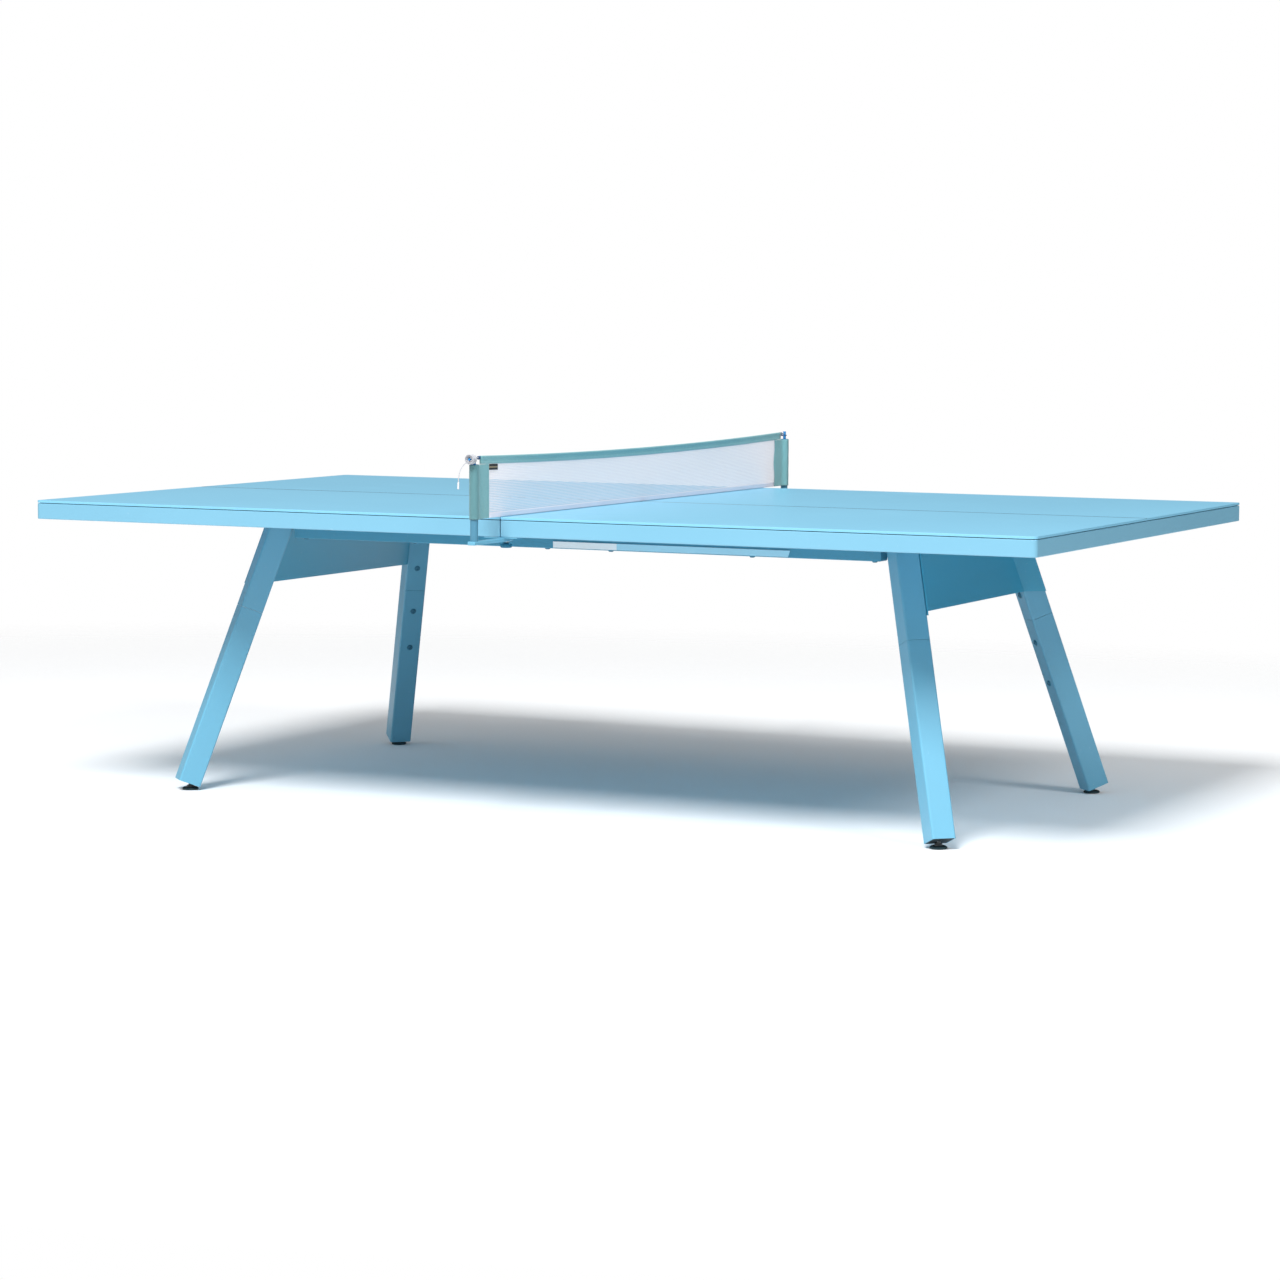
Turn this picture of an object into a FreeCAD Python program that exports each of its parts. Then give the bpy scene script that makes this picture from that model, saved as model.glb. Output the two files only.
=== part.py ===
"""Outdoor ping pong table with a fixed net, built as a bench of separate pieces.

Axes: X along the table's length, Y across it (the near side is -Y), Z up.
Origin: on the floor under the middle of the table. All sizes are in millimetres.
"""
import FreeCAD, Part
import math
import os
import re
import Sketcher

V = FreeCAD.Vector
ROOT2 = math.sqrt(2)

# alias, value, what it is
SIZES = [
    ("table_length", 2740, "playing surface, along X"),
    ("table_width", 1525, "playing surface, along Y"),
    ("table_height", 760, "floor to playing surface"),
    ("board_thick", 6, "solid laminate board"),
    ("board_round", 0.8, "upper edges of the board"),
    ("half_gap", 3, "between the two halves of the top"),
    ("corner_radius", 12, "outer corners of boards and apron"),
    ("gasket_thick", 1.8, "tape between board and apron"),
    ("gasket_inset", 5, "tape set back from the apron's face"),
    ("rail_wide", 30, "apron tube, across"),
    ("rail_tall", 40.2, "apron tube, upright"),
    ("rail_round", 2, "long edges of the apron tube"),
    ("tube_wall", 2.5, "wall of the apron and cross tubes"),
    ("tube_round", 2, "long outer edges of the cross tubes, beams and arms"),
    ("batten_wide", 40, "cross tubes between the legs and the middle"),
    ("batten_inner", 90, "first batten, from the middle of the table"),
    ("batten_outer", 480, "second batten, from the middle of the table"),
    ("bearer_margin", 6, "bearer past the leg's corner"),
    ("beam_deep", 40, "long beam, across"),
    ("beam_tall", 54, "long beam, upright"),
    ("beam_wall", 3, "wall of the long beam"),
    ("beam_gap", 1.5, "between a beam's cap and the leg's corner"),
    ("beam_face", 373, "outer face of a long beam, from the middle"),
    ("beam_seat", 40, "length of beam under a bearer"),
    ("cap_thick", 4, "plastic end cap of a long beam"),
    ("cap_plug", 14, "part of the cap inside the beam"),
    ("cap_radius", 8, "rounded lower corner of the cap"),
    ("plug_clearance", 0.2, "each side of a plug in its tube"),
    ("plate_left", -64, "blank name plate, left end along X"),
    ("plate_long", 655, "blank name plate, length"),
    ("plate_tall", 18, "blank name plate, upright"),
    ("plate_thick", 2, "blank name plate"),
    ("plate_slant", 6, "slope of the name plate's right end"),
    ("leg_width", 60, "square leg tube"),
    ("leg_wall", 3, "wall of the leg tube"),
    ("leg_radius", 5, "outer corners of the leg tube"),
    ("leg_head_x", 875.4, "leg's axis where it meets the bearer, from the middle"),
    ("leg_head_y", 357.4, "leg's axis where it meets the bearer, from the middle"),
    ("leg_splay", 0.2635, "sideways per unit of height, in X and in Y alike"),
    ("leg_clear", 1.53, "leg's lowest corner above the rubber foot's top"),
    ("leg_joint", 471, "height of the joint between upper and lower leg"),
    ("joint_gap", 0.6, "between upper and lower leg"),
    ("joiner_low", 283, "joiner tube's lower end, height on the axis"),
    ("joiner_high", 562, "joiner tube's upper end, height on the axis"),
    ("bolt_low", 303, "leg bolt, height on the axis"),
    ("bolt_mid", 410, "leg bolt, height on the axis"),
    ("bolt_high", 535, "leg bolt, height on the axis"),
    ("bolt_shank", 8, "leg bolt's shank, across"),
    ("bolt_hole", 8.4, "leg bolt's hole, across"),
    ("bolt_head", 14, "leg bolt's domed head, across"),
    ("head_tall", 4, "leg bolt's domed head"),
    ("bolt_long", 18, "leg bolt under its head"),
    ("panel_low", 537, "lower edge of the end panel"),
    ("panel_thick", 3, "folded sheet of the end panel"),
    ("foot_inset", 10, "foot's centre inwards from the leg's axis at the floor"),
    ("foot_width", 42, "rubber foot, across"),
    ("foot_tall", 7, "rubber foot"),
    ("stem_width", 10, "threaded stem of the foot"),
    ("stem_floor", 2.6, "stem's lower end above the floor"),
    ("stem_top", 48, "stem's upper end above the floor"),
    ("running_gap", 0.05, "radial clearance of a turning shaft"),
    ("collar_width", 17, "hexagon on the stem, across flats"),
    ("collar_gap", 0.3, "between the hexagon and the foot"),
    ("collar_tall", 4.5, "hexagon on the stem"),
    ("plug_long", 35, "plug in the leg's lower end, along the leg"),
    ("post_out", 890, "net post's axis, from the middle"),
    ("post_width", 19, "net post, across"),
    ("post_wall", 1.5, "wall of the net post"),
    ("post_rise", 131, "upper end of the net post above the playing surface"),
    ("arm_wide", 20, "arm under the table, along X"),
    ("arm_tall", 9, "arm under the table, upright"),
    ("arm_wall", 2, "wall of the arm"),
    ("arm_outer", 902, "arm's outer end, from the middle"),
    ("arm_inner", 716, "arm's inner end, from the middle"),
    ("clamp_plate_long", 90, "threaded plate under both halves, along X"),
    ("clamp_plate_wide", 56, "threaded plate under both halves, along Y"),
    ("clamp_plate_thick", 3, "threaded plate under both halves"),
    ("clamp_out", 733, "clamp screw's axis, from the middle"),
    ("screw_width", 8, "clamp screw, across"),
    ("washer_width", 18, "clamp washer, across"),
    ("washer_thick", 1.5, "clamp washer"),
    ("knob_width", 29, "clamp knob, across"),
    ("knob_tall", 10, "clamp knob"),
    ("knob_gap", 0.2, "between the knob and its washer"),
    ("hub_width", 13, "round hub on the knob, across"),
    ("hub_tall", 4, "round hub on the knob"),
    ("rod_width", 8, "plastic rod in the post's top"),
    ("rod_above", 22, "rod above the post"),
    ("rod_below", 20, "rod inside the post"),
    ("rod_lid", 1, "flange of the rod on the post's top"),
    ("net_high", 152.5, "net's top edge above the playing surface"),
    ("net_sag", 12, "drop of the net's top edge at mid span"),
    ("net_lift", 1, "net's lower edge above the playing surface"),
    ("net_thick", 1, "mesh"),
    ("band_tall", 19.5, "tape along the net's top"),
    ("band_thick", 5, "tape with the cord in it"),
    ("band_half", 862, "tape's end, from the middle"),
    ("cord_width", 2.5, "net cord, across"),
    ("hem_tall", 11, "tape along the net's bottom"),
    ("hem_thick", 2.4, "tape along the net's bottom"),
    ("sleeve_reach", 70, "side sleeve, inwards from the post's axis"),
    ("sleeve_skin", 2.2, "cloth and slack round the post"),
    ("sleeve_flat", 3, "sleeve's flat part"),
    ("soft_gap", 0.3, "round every soft piece"),
    ("hank_width", 25, "wound cord, across"),
    ("hank_long", 19, "wound cord, along Y"),
    ("hank_out", 906, "wound cord's middle, from the middle of the table"),
    ("hank_rise", 13.9, "wound cord's axis above the post"),
    ("peg_width", 5, "peg that carries the wound cord"),
    ("cord_end_width", 5, "plastic end of the cord tail"),
    ("cord_end_long", 17, "plastic end of the cord tail"),
]

# The cord tail's route, from the wound cord to its plastic end: x, distance out from the
# middle of the table, height above the post's top.
TAIL_ROUTE = [
    (0.0, 916.2, 8.0),
    (-1.5, 928.0, 6.5),
    (-3.0, 941.0, -0.5),
    (-3.5, 952.0, -11.0),
    (-2.5, 960.5, -23.5),
    (-1.0, 964.0, -38.0),
]

CORNERS = {
    "near_left": (-1, -1),
    "near_right": (1, -1),
    "far_left": (-1, 1),
    "far_right": (1, 1),
}
HALVES = {"left": -1, "right": 1}
SIDES = {"near": -1, "far": 1}

doc = FreeCAD.newDocument("ping_pong_table")
sheet = doc.addObject("Spreadsheet::Sheet", "dims")
for row, (alias, number, note) in enumerate(SIZES, 1):
    sheet.set(f"A{row}", alias)
    sheet.set(f"B{row}", str(number))
    sheet.setAlias(f"B{row}", alias)
    sheet.set(f"C{row}", note)
doc.recompute()

nodes = []


ALIAS = re.compile(r"\b(" + "|".join(entry[0] for entry in SIZES) + r")\b")


def bound(expression):
    """An expression on the sheet's aliases, in the form other objects can follow."""
    return ALIAS.sub(r"dims.\1", expression)


def size(expression):
    """The number that an expression on the sheet's aliases gives."""
    return float(sheet.evalExpression(bound(expression)))


# ---------------------------------------------------------------- building blocks


def node(thing, label):
    """Marks a document object as a finished piece that gets a file of its own."""
    thing.Label = label
    nodes.append(thing)
    return thing


def new_body(name):
    return doc.addObject("PartDesign::Body", name)


def new_sketch(body, role):
    """A sketch on one of the body's own origin planes: XY_Plane, XZ_Plane or YZ_Plane."""
    sketch = body.newObject("Sketcher::SketchObject", body.Name + "_outline")
    plane = next(f for f in body.Origin.OriginFeatures if f.Role == role)
    sketch.AttachmentSupport = [(plane, "")]
    sketch.MapMode = "FlatFace"
    return sketch


def outline(sketch, points):
    """A closed loop of straight lines; each corner's two coordinates are expressions."""
    places = [V(size(across), size(up), 0) for across, up in points]
    first = sketch.GeometryCount
    count = len(points)
    for i in range(count):
        line = Part.LineSegment(places[i], places[(i + 1) % count])
        sketch.addGeometry(line, False)
    for i in range(count):
        follower = first + (i + 1) % count
        sketch.addConstraint(Sketcher.Constraint("Coincident", first + i, 2, follower, 1))
    for i, (across, up) in enumerate(points):
        for kind, axis, expression in (("DistanceX", -2, across), ("DistanceY", -1, up)):
            if abs(size(expression)) < 1e-9:
                on_axis = Sketcher.Constraint("PointOnObject", first + i, 1, axis)
                sketch.addConstraint(on_axis)
                continue
            distance = Sketcher.Constraint(kind, -1, 1, first + i, 1, size(expression))
            number = sketch.addConstraint(distance)
            sketch.setExpression(f"Constraints[{number}]", bound(expression))


def rectangle(sketch, width, height, inset="0"):
    """A rectangle about the sketch's origin, made smaller by inset on every side."""
    half_w = f"(({width}) / 2 - ({inset}))"
    half_h = f"(({height}) / 2 - ({inset}))"
    corners = [("-", "-"), ("", "-"), ("", ""), ("-", "")]
    outline(sketch, [(f"{a}1 * {half_w}", f"{b}1 * {half_h}") for a, b in corners])


def circle(sketch, width, across="0", up="0"):
    """A circle of that width; its centre's coordinates are expressions."""
    place = V(size(across), size(up), 0)
    ring = sketch.addGeometry(Part.Circle(place, V(0, 0, 1), size(width) / 2), False)
    number = sketch.addConstraint(Sketcher.Constraint("Diameter", ring, size(width)))
    sketch.setExpression(f"Constraints[{number}]", bound(width))
    for kind, axis, expression in (("DistanceX", -2, across), ("DistanceY", -1, up)):
        if abs(size(expression)) < 1e-9:
            sketch.addConstraint(Sketcher.Constraint("PointOnObject", ring, 3, axis))
            continue
        distance = Sketcher.Constraint(kind, -1, 1, ring, 3, size(expression))
        number = sketch.addConstraint(distance)
        sketch.setExpression(f"Constraints[{number}]", bound(expression))


def pad(body, sketch, length, midplane=False):
    feature = body.newObject("PartDesign::Pad", body.Name + "_pad")
    feature.Profile = sketch
    feature.setExpression("Length", bound(length))
    feature.Midplane = midplane
    doc.recompute()
    return feature


def turned(name, points):
    """A body turned about Z from an outline of (radius, height) corners."""
    body = new_body(name)
    sketch = new_sketch(body, "XZ_Plane")
    outline(sketch, points)
    feature = body.newObject("PartDesign::Revolution", name + "_turn")
    feature.Profile = sketch
    feature.ReferenceAxis = (sketch, ["V_Axis"])
    feature.Angle = 360
    doc.recompute()
    return body


def round_edges(body, feature, radius, wanted):
    """Rounds the edges of feature that the wanted function picks."""
    names = [f"Edge{i}" for i, edge in enumerate(feature.Shape.Edges, 1) if wanted(edge)]
    fillet = body.newObject("PartDesign::Fillet", feature.Name + "_round")
    fillet.Base = (feature, names)
    fillet.setExpression("Radius", bound(radius))
    doc.recompute()
    return fillet


def is_along(edge, axis):
    """True for a straight edge that runs along axis."""
    if edge.Curve.TypeId != "Part::GeomLine":
        return False
    return abs(abs(edge.Curve.Direction.dot(axis)) - 1) < 1e-6


def hollow_tube(name, plane, width, height, wall, length):
    """A rectangular tube through the origin, square to plane; width is the sketch's x."""
    body = new_body(name)
    sketch = new_sketch(body, plane)
    rectangle(sketch, width, height)
    rectangle(sketch, width, height, wall)
    tube = pad(body, sketch, length, midplane=True)
    reach = (size(width) / 2 - 0.01, size(height) / 2 - 0.01)
    across = 1 if plane == "YZ_Plane" else 0
    run = V(1, 0, 0) if plane == "YZ_Plane" else V(0, 1, 0)
    round_edges(
        body,
        tube,
        "tube_round",
        lambda edge: is_along(edge, run)
        and abs(edge.Vertexes[0].Point[across]) > reach[0]
        and abs(edge.Vertexes[0].Z) > reach[1],
    )
    return body


def cut_away(base, tool, name):
    """base minus tool, as a document object."""
    cut = doc.addObject("Part::Cut", name)
    cut.Base = base
    cut.Tool = tool
    doc.recompute()
    return cut


def group_of(name, pieces):
    """Separate solids that share one node, such as a set of bolts."""
    group = doc.addObject("Part::Compound", name)
    group.Links = pieces
    doc.recompute()
    return node(group, name)


def prism(points, low, high):
    """A solid with a flat outline of (x, y) points between two heights."""
    loop = [V(x, y, low) for x, y in points]
    face = Part.Face(Part.makePolygon(loop + loop[:1]))
    return face.extrude(V(0, 0, high - low))


def shape_node(name, shape):
    """A piece whose shape neither sketches nor primitives give."""
    feature = doc.addObject("Part::Feature", name)
    feature.Shape = shape
    return node(feature, name)


# ---------------------------------------------------------------- levels worked out once

UNDERSIDE = "(table_height - board_thick)"
RAIL_TOP = f"({UNDERSIDE} - gasket_thick)"
RAIL_LOW = f"({RAIL_TOP} - rail_tall)"
CROSS_TALL = "(rail_tall + gasket_thick)"
CROSS_LOW = f"({UNDERSIDE} - {CROSS_TALL})"
HALF_LENGTH = "(table_length / 2)"
HALF_WIDTH = "(table_width / 2)"
SEAM = "(half_gap / 2)"
SPAN_INSIDE = "(table_width - 2 * rail_wide)"
ARM_TOP = f"({RAIL_LOW} - clamp_plate_thick)"
ARM_LOW = f"({ARM_TOP} - arm_tall)"
NET_TOP = "(table_height + net_high)"
POST_TOP = "(table_height + post_rise)"
LEAN = "sqrt(1 + 2 * leg_splay ^ 2)"
LEG_CORNER = f"(leg_width / 2 * (1 + {LEAN}) / sqrt(2))"
LEG_END = f"(foot_tall + leg_clear + leg_width / 2 * sqrt(2) * leg_splay / {LEAN})"
LEG_FOOT_X = f"(leg_head_x + leg_splay * {CROSS_LOW})"
LEG_FOOT_Y = f"(leg_head_y + leg_splay * {CROSS_LOW})"
BEAM_HALF = f"(leg_head_x - {LEG_CORNER} - beam_gap - cap_thick)"
JOINER_WIDTH = "(leg_width - 2 * leg_wall - 2 * plug_clearance)"


# ---------------------------------------------------------------- the playing top


def make_board(half, sign):
    """One half of the playing surface, its two outer corners rounded."""
    body = new_body(f"board_{half}")
    sketch = new_sketch(body, "XY_Plane")
    inner = f"{sign} * {SEAM}"
    outer = f"{sign} * {HALF_LENGTH}"
    side = HALF_WIDTH
    outline(sketch, [(inner, f"-{side}"), (outer, f"-{side}"), (outer, side), (inner, side)])
    slab = pad(body, sketch, "board_thick")
    edge_of_top = size(HALF_LENGTH) - 1
    round_edges(
        body,
        slab,
        "corner_radius",
        lambda edge: is_along(edge, V(0, 0, 1)) and abs(edge.Vertexes[0].X) > edge_of_top,
    )
    edged = body.Tip
    top = size("board_thick") - 0.01
    round_edges(
        body,
        edged,
        "board_round",
        lambda edge: min(vertex.Z for vertex in edge.Vertexes) > top,
    )
    body.Placement.Base = V(0, 0, size(UNDERSIDE))
    return node(body, f"board_{half}")


def rounded_plan(sign, inset, low, high):
    """The plan of one half of the top, drawn in by inset, as a solid between two heights."""
    near_seam = size(SEAM) + inset
    far_end = size(HALF_LENGTH) - inset
    side = size(HALF_WIDTH) - inset
    block = prism(
        [(near_seam, -side), (far_end, -side), (far_end, side), (near_seam, side)], low, high
    )
    radius = size("corner_radius") - inset
    if radius > 0.5:
        corners = [
            edge
            for edge in block.Edges
            if is_along(edge, V(0, 0, 1)) and edge.Vertexes[0].X > far_end - 1
        ]
        block = block.makeFillet(radius, corners)
    if sign < 0:
        block = block.mirror(V(0, 0, 0), V(1, 0, 0))
    return block


def make_gaskets():
    """A closed loop of tape between each board and its apron."""
    low = size(RAIL_TOP)
    high = size(UNDERSIDE)
    outer = size("gasket_inset")
    inner = size("rail_wide") - size("gasket_inset")
    loops = []
    for sign in HALVES.values():
        loop = rounded_plan(sign, outer, low, high).cut(rounded_plan(sign, inner, low, high))
        loops.append(loop)
    return shape_node("board_gaskets", Part.makeCompound(loops))


def level_edges(solid):
    """The edges that lie in one level plane, arcs included."""
    return [edge for edge in solid.Edges if edge.BoundBox.ZLength < 0.01]


def make_apron(half, sign):
    """Four hollow tubes, mitred and welded into the frame that edges one half."""
    low = size(RAIL_LOW)
    high = size(RAIL_TOP)
    wall = size("tube_wall")
    wide = size("rail_wide")
    outside = rounded_plan(sign, 0, low, high).cut(rounded_plan(sign, wide, low, high))
    outside = outside.makeFillet(size("rail_round"), level_edges(outside))
    inside = rounded_plan(sign, wall, low + wall, high - wall)
    inside = inside.cut(rounded_plan(sign, wide - wall, low + wall, high - wall))
    ring = outside.cut(inside)
    seam = sign * size(SEAM)
    end = sign * size(HALF_LENGTH)
    side = size(HALF_WIDTH)
    seam_in = seam + sign * wide
    end_in = end - sign * wide
    side_in = side - wide
    rails = {
        "near": [(seam, -side), (end, -side), (end_in, -side_in), (seam_in, -side_in)],
        "far": [(seam, side), (end, side), (end_in, side_in), (seam_in, side_in)],
        "end": [(end, -side), (end, side), (end_in, side_in), (end_in, -side_in)],
        "middle": [(seam, -side), (seam, side), (seam_in, side_in), (seam_in, -side_in)],
    }
    for place, plan in rails.items():
        rail = ring.common(prism(plan, low - 1, high + 1))
        shape_node(f"rail_{half}_{place}", rail.Solids[0])


# ---------------------------------------------------------------- frame under the top


def bearer_limits():
    """The bearer's two edges along X: over the beam's end and past the leg's corner."""
    inner = size(BEAM_HALF) - size("beam_seat")
    outer = size("leg_head_x") + size(LEG_CORNER) + size("bearer_margin")
    return inner, outer


def make_bearer(half, sign):
    """The wide cross tube that the leg frame and the beams' ends are bolted to."""
    inner, outer = bearer_limits()
    tall = CROSS_TALL
    body = hollow_tube(
        f"bearer_{half}", "XZ_Plane", str(outer - inner), tall, "tube_wall",
        f"table_width - 2 * rail_wide",
    )
    middle = sign * (inner + outer) / 2
    body.Placement.Base = V(middle, 0, size(CROSS_LOW) + size(CROSS_TALL) / 2)
    return node(body, f"bearer_{half}")


def make_battens(half, sign):
    """Two narrower cross tubes that keep one board flat."""
    tubes = []
    for place in ("batten_inner", "batten_outer"):
        tube = hollow_tube(
            f"{place}_{half}", "XZ_Plane", "batten_wide", CROSS_TALL,
            "tube_wall", "table_width - 2 * rail_wide",
        )
        height = size(CROSS_LOW) + size(CROSS_TALL) / 2
        tube.Placement.Base = V(sign * size(place), 0, height)
        tubes.append(tube)
    return group_of(f"battens_{half}", tubes)


def beam_centre(sign):
    """The middle of a long beam's section, across and up."""
    across = sign * (size("beam_face") - size("beam_deep") / 2)
    return across, size(CROSS_LOW) - size("beam_tall") / 2


def make_beam(side, sign):
    """A long tube from one leg frame to the other."""
    body = hollow_tube(
        f"beam_{side}", "YZ_Plane", "beam_deep", "beam_tall", "beam_wall",
        f"2 * {BEAM_HALF}",
    )
    across, up = beam_centre(sign)
    body.Placement.Base = V(0, across, up)
    return node(body, f"beam_{side}")


def make_beam_caps():
    """Plastic caps in the beams' four ends, with a rounded lower corner outside."""
    caps = []
    deep = size("beam_deep")
    tall = size("beam_tall")
    inset = size("beam_wall") + size("plug_clearance")
    for side_sign in SIDES.values():
        across, up = beam_centre(side_sign)
        for end_sign in HALVES.values():
            start = size(BEAM_HALF)
            lid = Part.makeBox(size("cap_thick"), deep, tall, V(start, -deep / 2, -tall / 2))
            low_edge = [
                edge
                for edge in lid.Edges
                if is_along(edge, V(0, 1, 0))
                and edge.Vertexes[0].X > start + 1
                and edge.Vertexes[0].Z < 0
            ]
            radius = min(size("cap_radius"), size("cap_thick") - 0.2)
            lid = lid.makeFillet(radius, low_edge)
            plug = Part.makeBox(
                size("cap_plug"), deep - 2 * inset, tall - 2 * inset,
                V(start - size("cap_plug"), inset - deep / 2, inset - tall / 2),
            )
            cap = lid.fuse(plug).removeSplitter()
            if end_sign < 0:
                cap = cap.mirror(V(0, 0, 0), V(1, 0, 0))
            cap.translate(V(0, across, up))
            caps.append(cap)
    return shape_node("beam_caps", Part.makeCompound(caps))


def make_name_plate():
    """A blank plate on the near beam's outer face, its right end cut on a slope."""
    left = size("plate_left")
    right = left + size("plate_long")
    low = size(CROSS_LOW) - size("beam_tall") + 1
    top = low + size("plate_tall")
    back = -size("beam_face")
    front = back - size("plate_thick")
    loop = [
        V(left, back, low),
        V(right - size("plate_slant"), back, low),
        V(right, back, top),
        V(left, back, top),
    ]
    face = Part.Face(Part.makePolygon(loop + loop[:1]))
    return shape_node("name_plate", face.extrude(V(0, front - back, 0)))


def make_beam_bolts():
    """Bolts up through each beam into the bearers and battens above it."""
    inner, _ = bearer_limits()
    seat_x = (inner + size(BEAM_HALF)) / 2
    head_low = size(CROSS_LOW) - size("beam_tall") - size("head_tall")
    places = [seat_x, size("batten_inner"), size("batten_outer")]
    bolts = []
    for side_sign in SIDES.values():
        across, _ = beam_centre(side_sign)
        for x in [sign * place for sign in HALVES.values() for place in places]:
            head = Part.makeCylinder(
                size("bolt_head") / 2, size("head_tall"), V(x, across, head_low)
            )
            head = head.makeFillet(size("head_tall") / 3, [head.Edges[2]])
            bolts.append(head)
    return shape_node("beam_bolts", Part.makeCompound(bolts))


# ---------------------------------------------------------------- legs


def lean_cos():
    """Height gained per unit of length along a leg."""
    return 1 / size(LEAN)


def along_leg(height):
    """Length along the leg's axis from the floor to that height."""
    return height / lean_cos()


def leg_half_outward():
    """Half of the leg's level section, measured outwards along the diagonal."""
    return size("leg_width") / 2 / lean_cos()


def leg_axis(corner, height):
    """The point on a leg's axis at that height."""
    sign_x, sign_y = corner
    x = size(LEG_FOOT_X) - size("leg_splay") * height
    y = size(LEG_FOOT_Y) - size("leg_splay") * height
    return V(sign_x * x, sign_y * y, height)


def leg_placement(corner):
    """Stands a piece drawn along Z on a leg's axis; its +X then faces outwards."""
    sign_x, sign_y = corner
    upwards = leg_axis(corner, 1) - leg_axis(corner, 0)
    upwards.normalize()
    level = V(-sign_y, sign_x, 0)
    level.normalize()
    outwards = level.cross(upwards)
    if outwards.dot(V(sign_x, sign_y, 0)) < 0:
        level = level * -1
        outwards = outwards * -1
    turn = FreeCAD.Rotation(outwards, level, upwards, "ZXY")
    return FreeCAD.Placement(leg_axis(corner, 0), turn)


def square_tube(name, start, end, width, wall, holes):
    """A square tube along Z between two lengths, with bolt holes in its -X wall."""
    body = new_body(name)
    sketch = new_sketch(body, "XY_Plane")
    sketch.AttachmentOffset = FreeCAD.Placement(V(0, 0, start), FreeCAD.Rotation())
    rectangle(sketch, width, width)
    rectangle(sketch, width, width, wall)
    tube = pad(body, sketch, str(end - start))
    if holes:
        marks = new_sketch(body, "YZ_Plane")
        for place in holes:
            circle(marks, "bolt_hole", "0", str(place))
        pocket = body.newObject("PartDesign::Pocket", name + "_holes")
        pocket.Profile = marks
        pocket.Length = size(width)
        pocket.Reversed = False
        whole = tube.Shape.Volume
        doc.recompute()
        if pocket.Shape.Volume > whole - 1 or pocket.Shape.BoundBox.XMax > size(width):
            raise RuntimeError(name + ": the bolt holes were not cut")
        tube = pocket
    return body, tube


def long_outer_edges(width):
    """Picks the four long outer edges of a square tube drawn along Z."""
    reach = size(width) / 2 - 0.01
    return lambda edge: (
        is_along(edge, V(0, 0, 1))
        and edge.Length > size(width)
        and abs(edge.Vertexes[0].X) > reach
        and abs(edge.Vertexes[0].Y) > reach
    )


def make_upper_leg(name, corner):
    """The welded upper part of a leg, cut level under the bearer."""
    start = along_leg(size("leg_joint")) + size("joint_gap") / 2
    top = size(CROSS_LOW)
    end = along_leg(top) + size("leg_width")
    body, tube = square_tube(
        f"upper_leg_tube_{name}", start, end, "leg_width", "leg_wall",
        [along_leg(size("bolt_high"))],
    )
    round_edges(body, tube, "leg_radius", long_outer_edges("leg_width"))
    body.Placement = leg_placement(corner)
    above = doc.addObject("Part::Box", f"above_{name}")
    for side in ("Length", "Width", "Height"):
        above.setExpression(side, bound("8 * leg_width"))
    middle = leg_axis(corner, top) - V(4, 4, 0) * size("leg_width")
    above.Placement.Base = middle
    return node(cut_away(body, above, f"upper_leg_cut_{name}"), f"upper_leg_{name}")


def make_lower_leg(name, corner):
    """The bolted-on lower part of a leg."""
    start = along_leg(size(LEG_END))
    end = along_leg(size("leg_joint")) - size("joint_gap") / 2
    holes = [along_leg(size("bolt_low")), along_leg(size("bolt_mid"))]
    body, tube = square_tube(
        f"lower_leg_{name}", start, end, "leg_width", "leg_wall", holes
    )
    round_edges(body, tube, "leg_radius", long_outer_edges("leg_width"))
    body.Placement = leg_placement(corner)
    return node(body, f"lower_leg_{name}")


def make_leg_joiners():
    """The tube inside each leg that carries it across the joint."""
    holes = [along_leg(size(bolt)) for bolt in ("bolt_low", "bolt_mid", "bolt_high")]
    start = along_leg(size("joiner_low"))
    end = along_leg(size("joiner_high"))
    joiners = []
    for name, corner in CORNERS.items():
        body, _ = square_tube(
            f"joiner_{name}", start, end, JOINER_WIDTH, "leg_wall", holes
        )
        body.Placement = leg_placement(corner)
        joiners.append(body)
    return group_of("leg_joiners", joiners)


def bolt_shape():
    """A domed bolt along X: its head sits on the plane x = 0 and its shank runs to +X."""
    head = size("head_tall")
    wide = size("bolt_head") / 2
    shank = size("bolt_shank") / 2
    dome_points = [V(0, 0, 0), V(0, wide, 0), V(-head * 0.35, wide, 0)]
    crown = V(-head, 0, 0)
    side = Part.makePolygon([dome_points[2], dome_points[1], dome_points[0], crown])
    bulge = V(-head * 0.85, wide * 0.62, 0)
    dome = Part.Arc(crown, bulge, dome_points[2]).toShape()
    face = Part.Face(Part.Wire(side.Edges + [dome]))
    domed = face.revolve(V(0, 0, 0), V(1, 0, 0), 360)
    return domed.fuse(
        Part.makeCylinder(shank, size("bolt_long"), V(0, 0, 0), V(1, 0, 0))
    ).removeSplitter()


def make_leg_bolts():
    """Three bolts through each leg's inner wall into its joiner."""
    bolt = bolt_shape()
    bolts = []
    for corner in CORNERS.values():
        for height in ("bolt_low", "bolt_mid", "bolt_high"):
            seat = FreeCAD.Placement(
                V(-size("leg_width") / 2, 0, along_leg(size(height))), FreeCAD.Rotation()
            )
            copy = bolt.copy()
            copy.Placement = leg_placement(corner).multiply(seat)
            bolts.append(copy)
    return shape_node("leg_bolts", Part.makeCompound(bolts))


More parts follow.
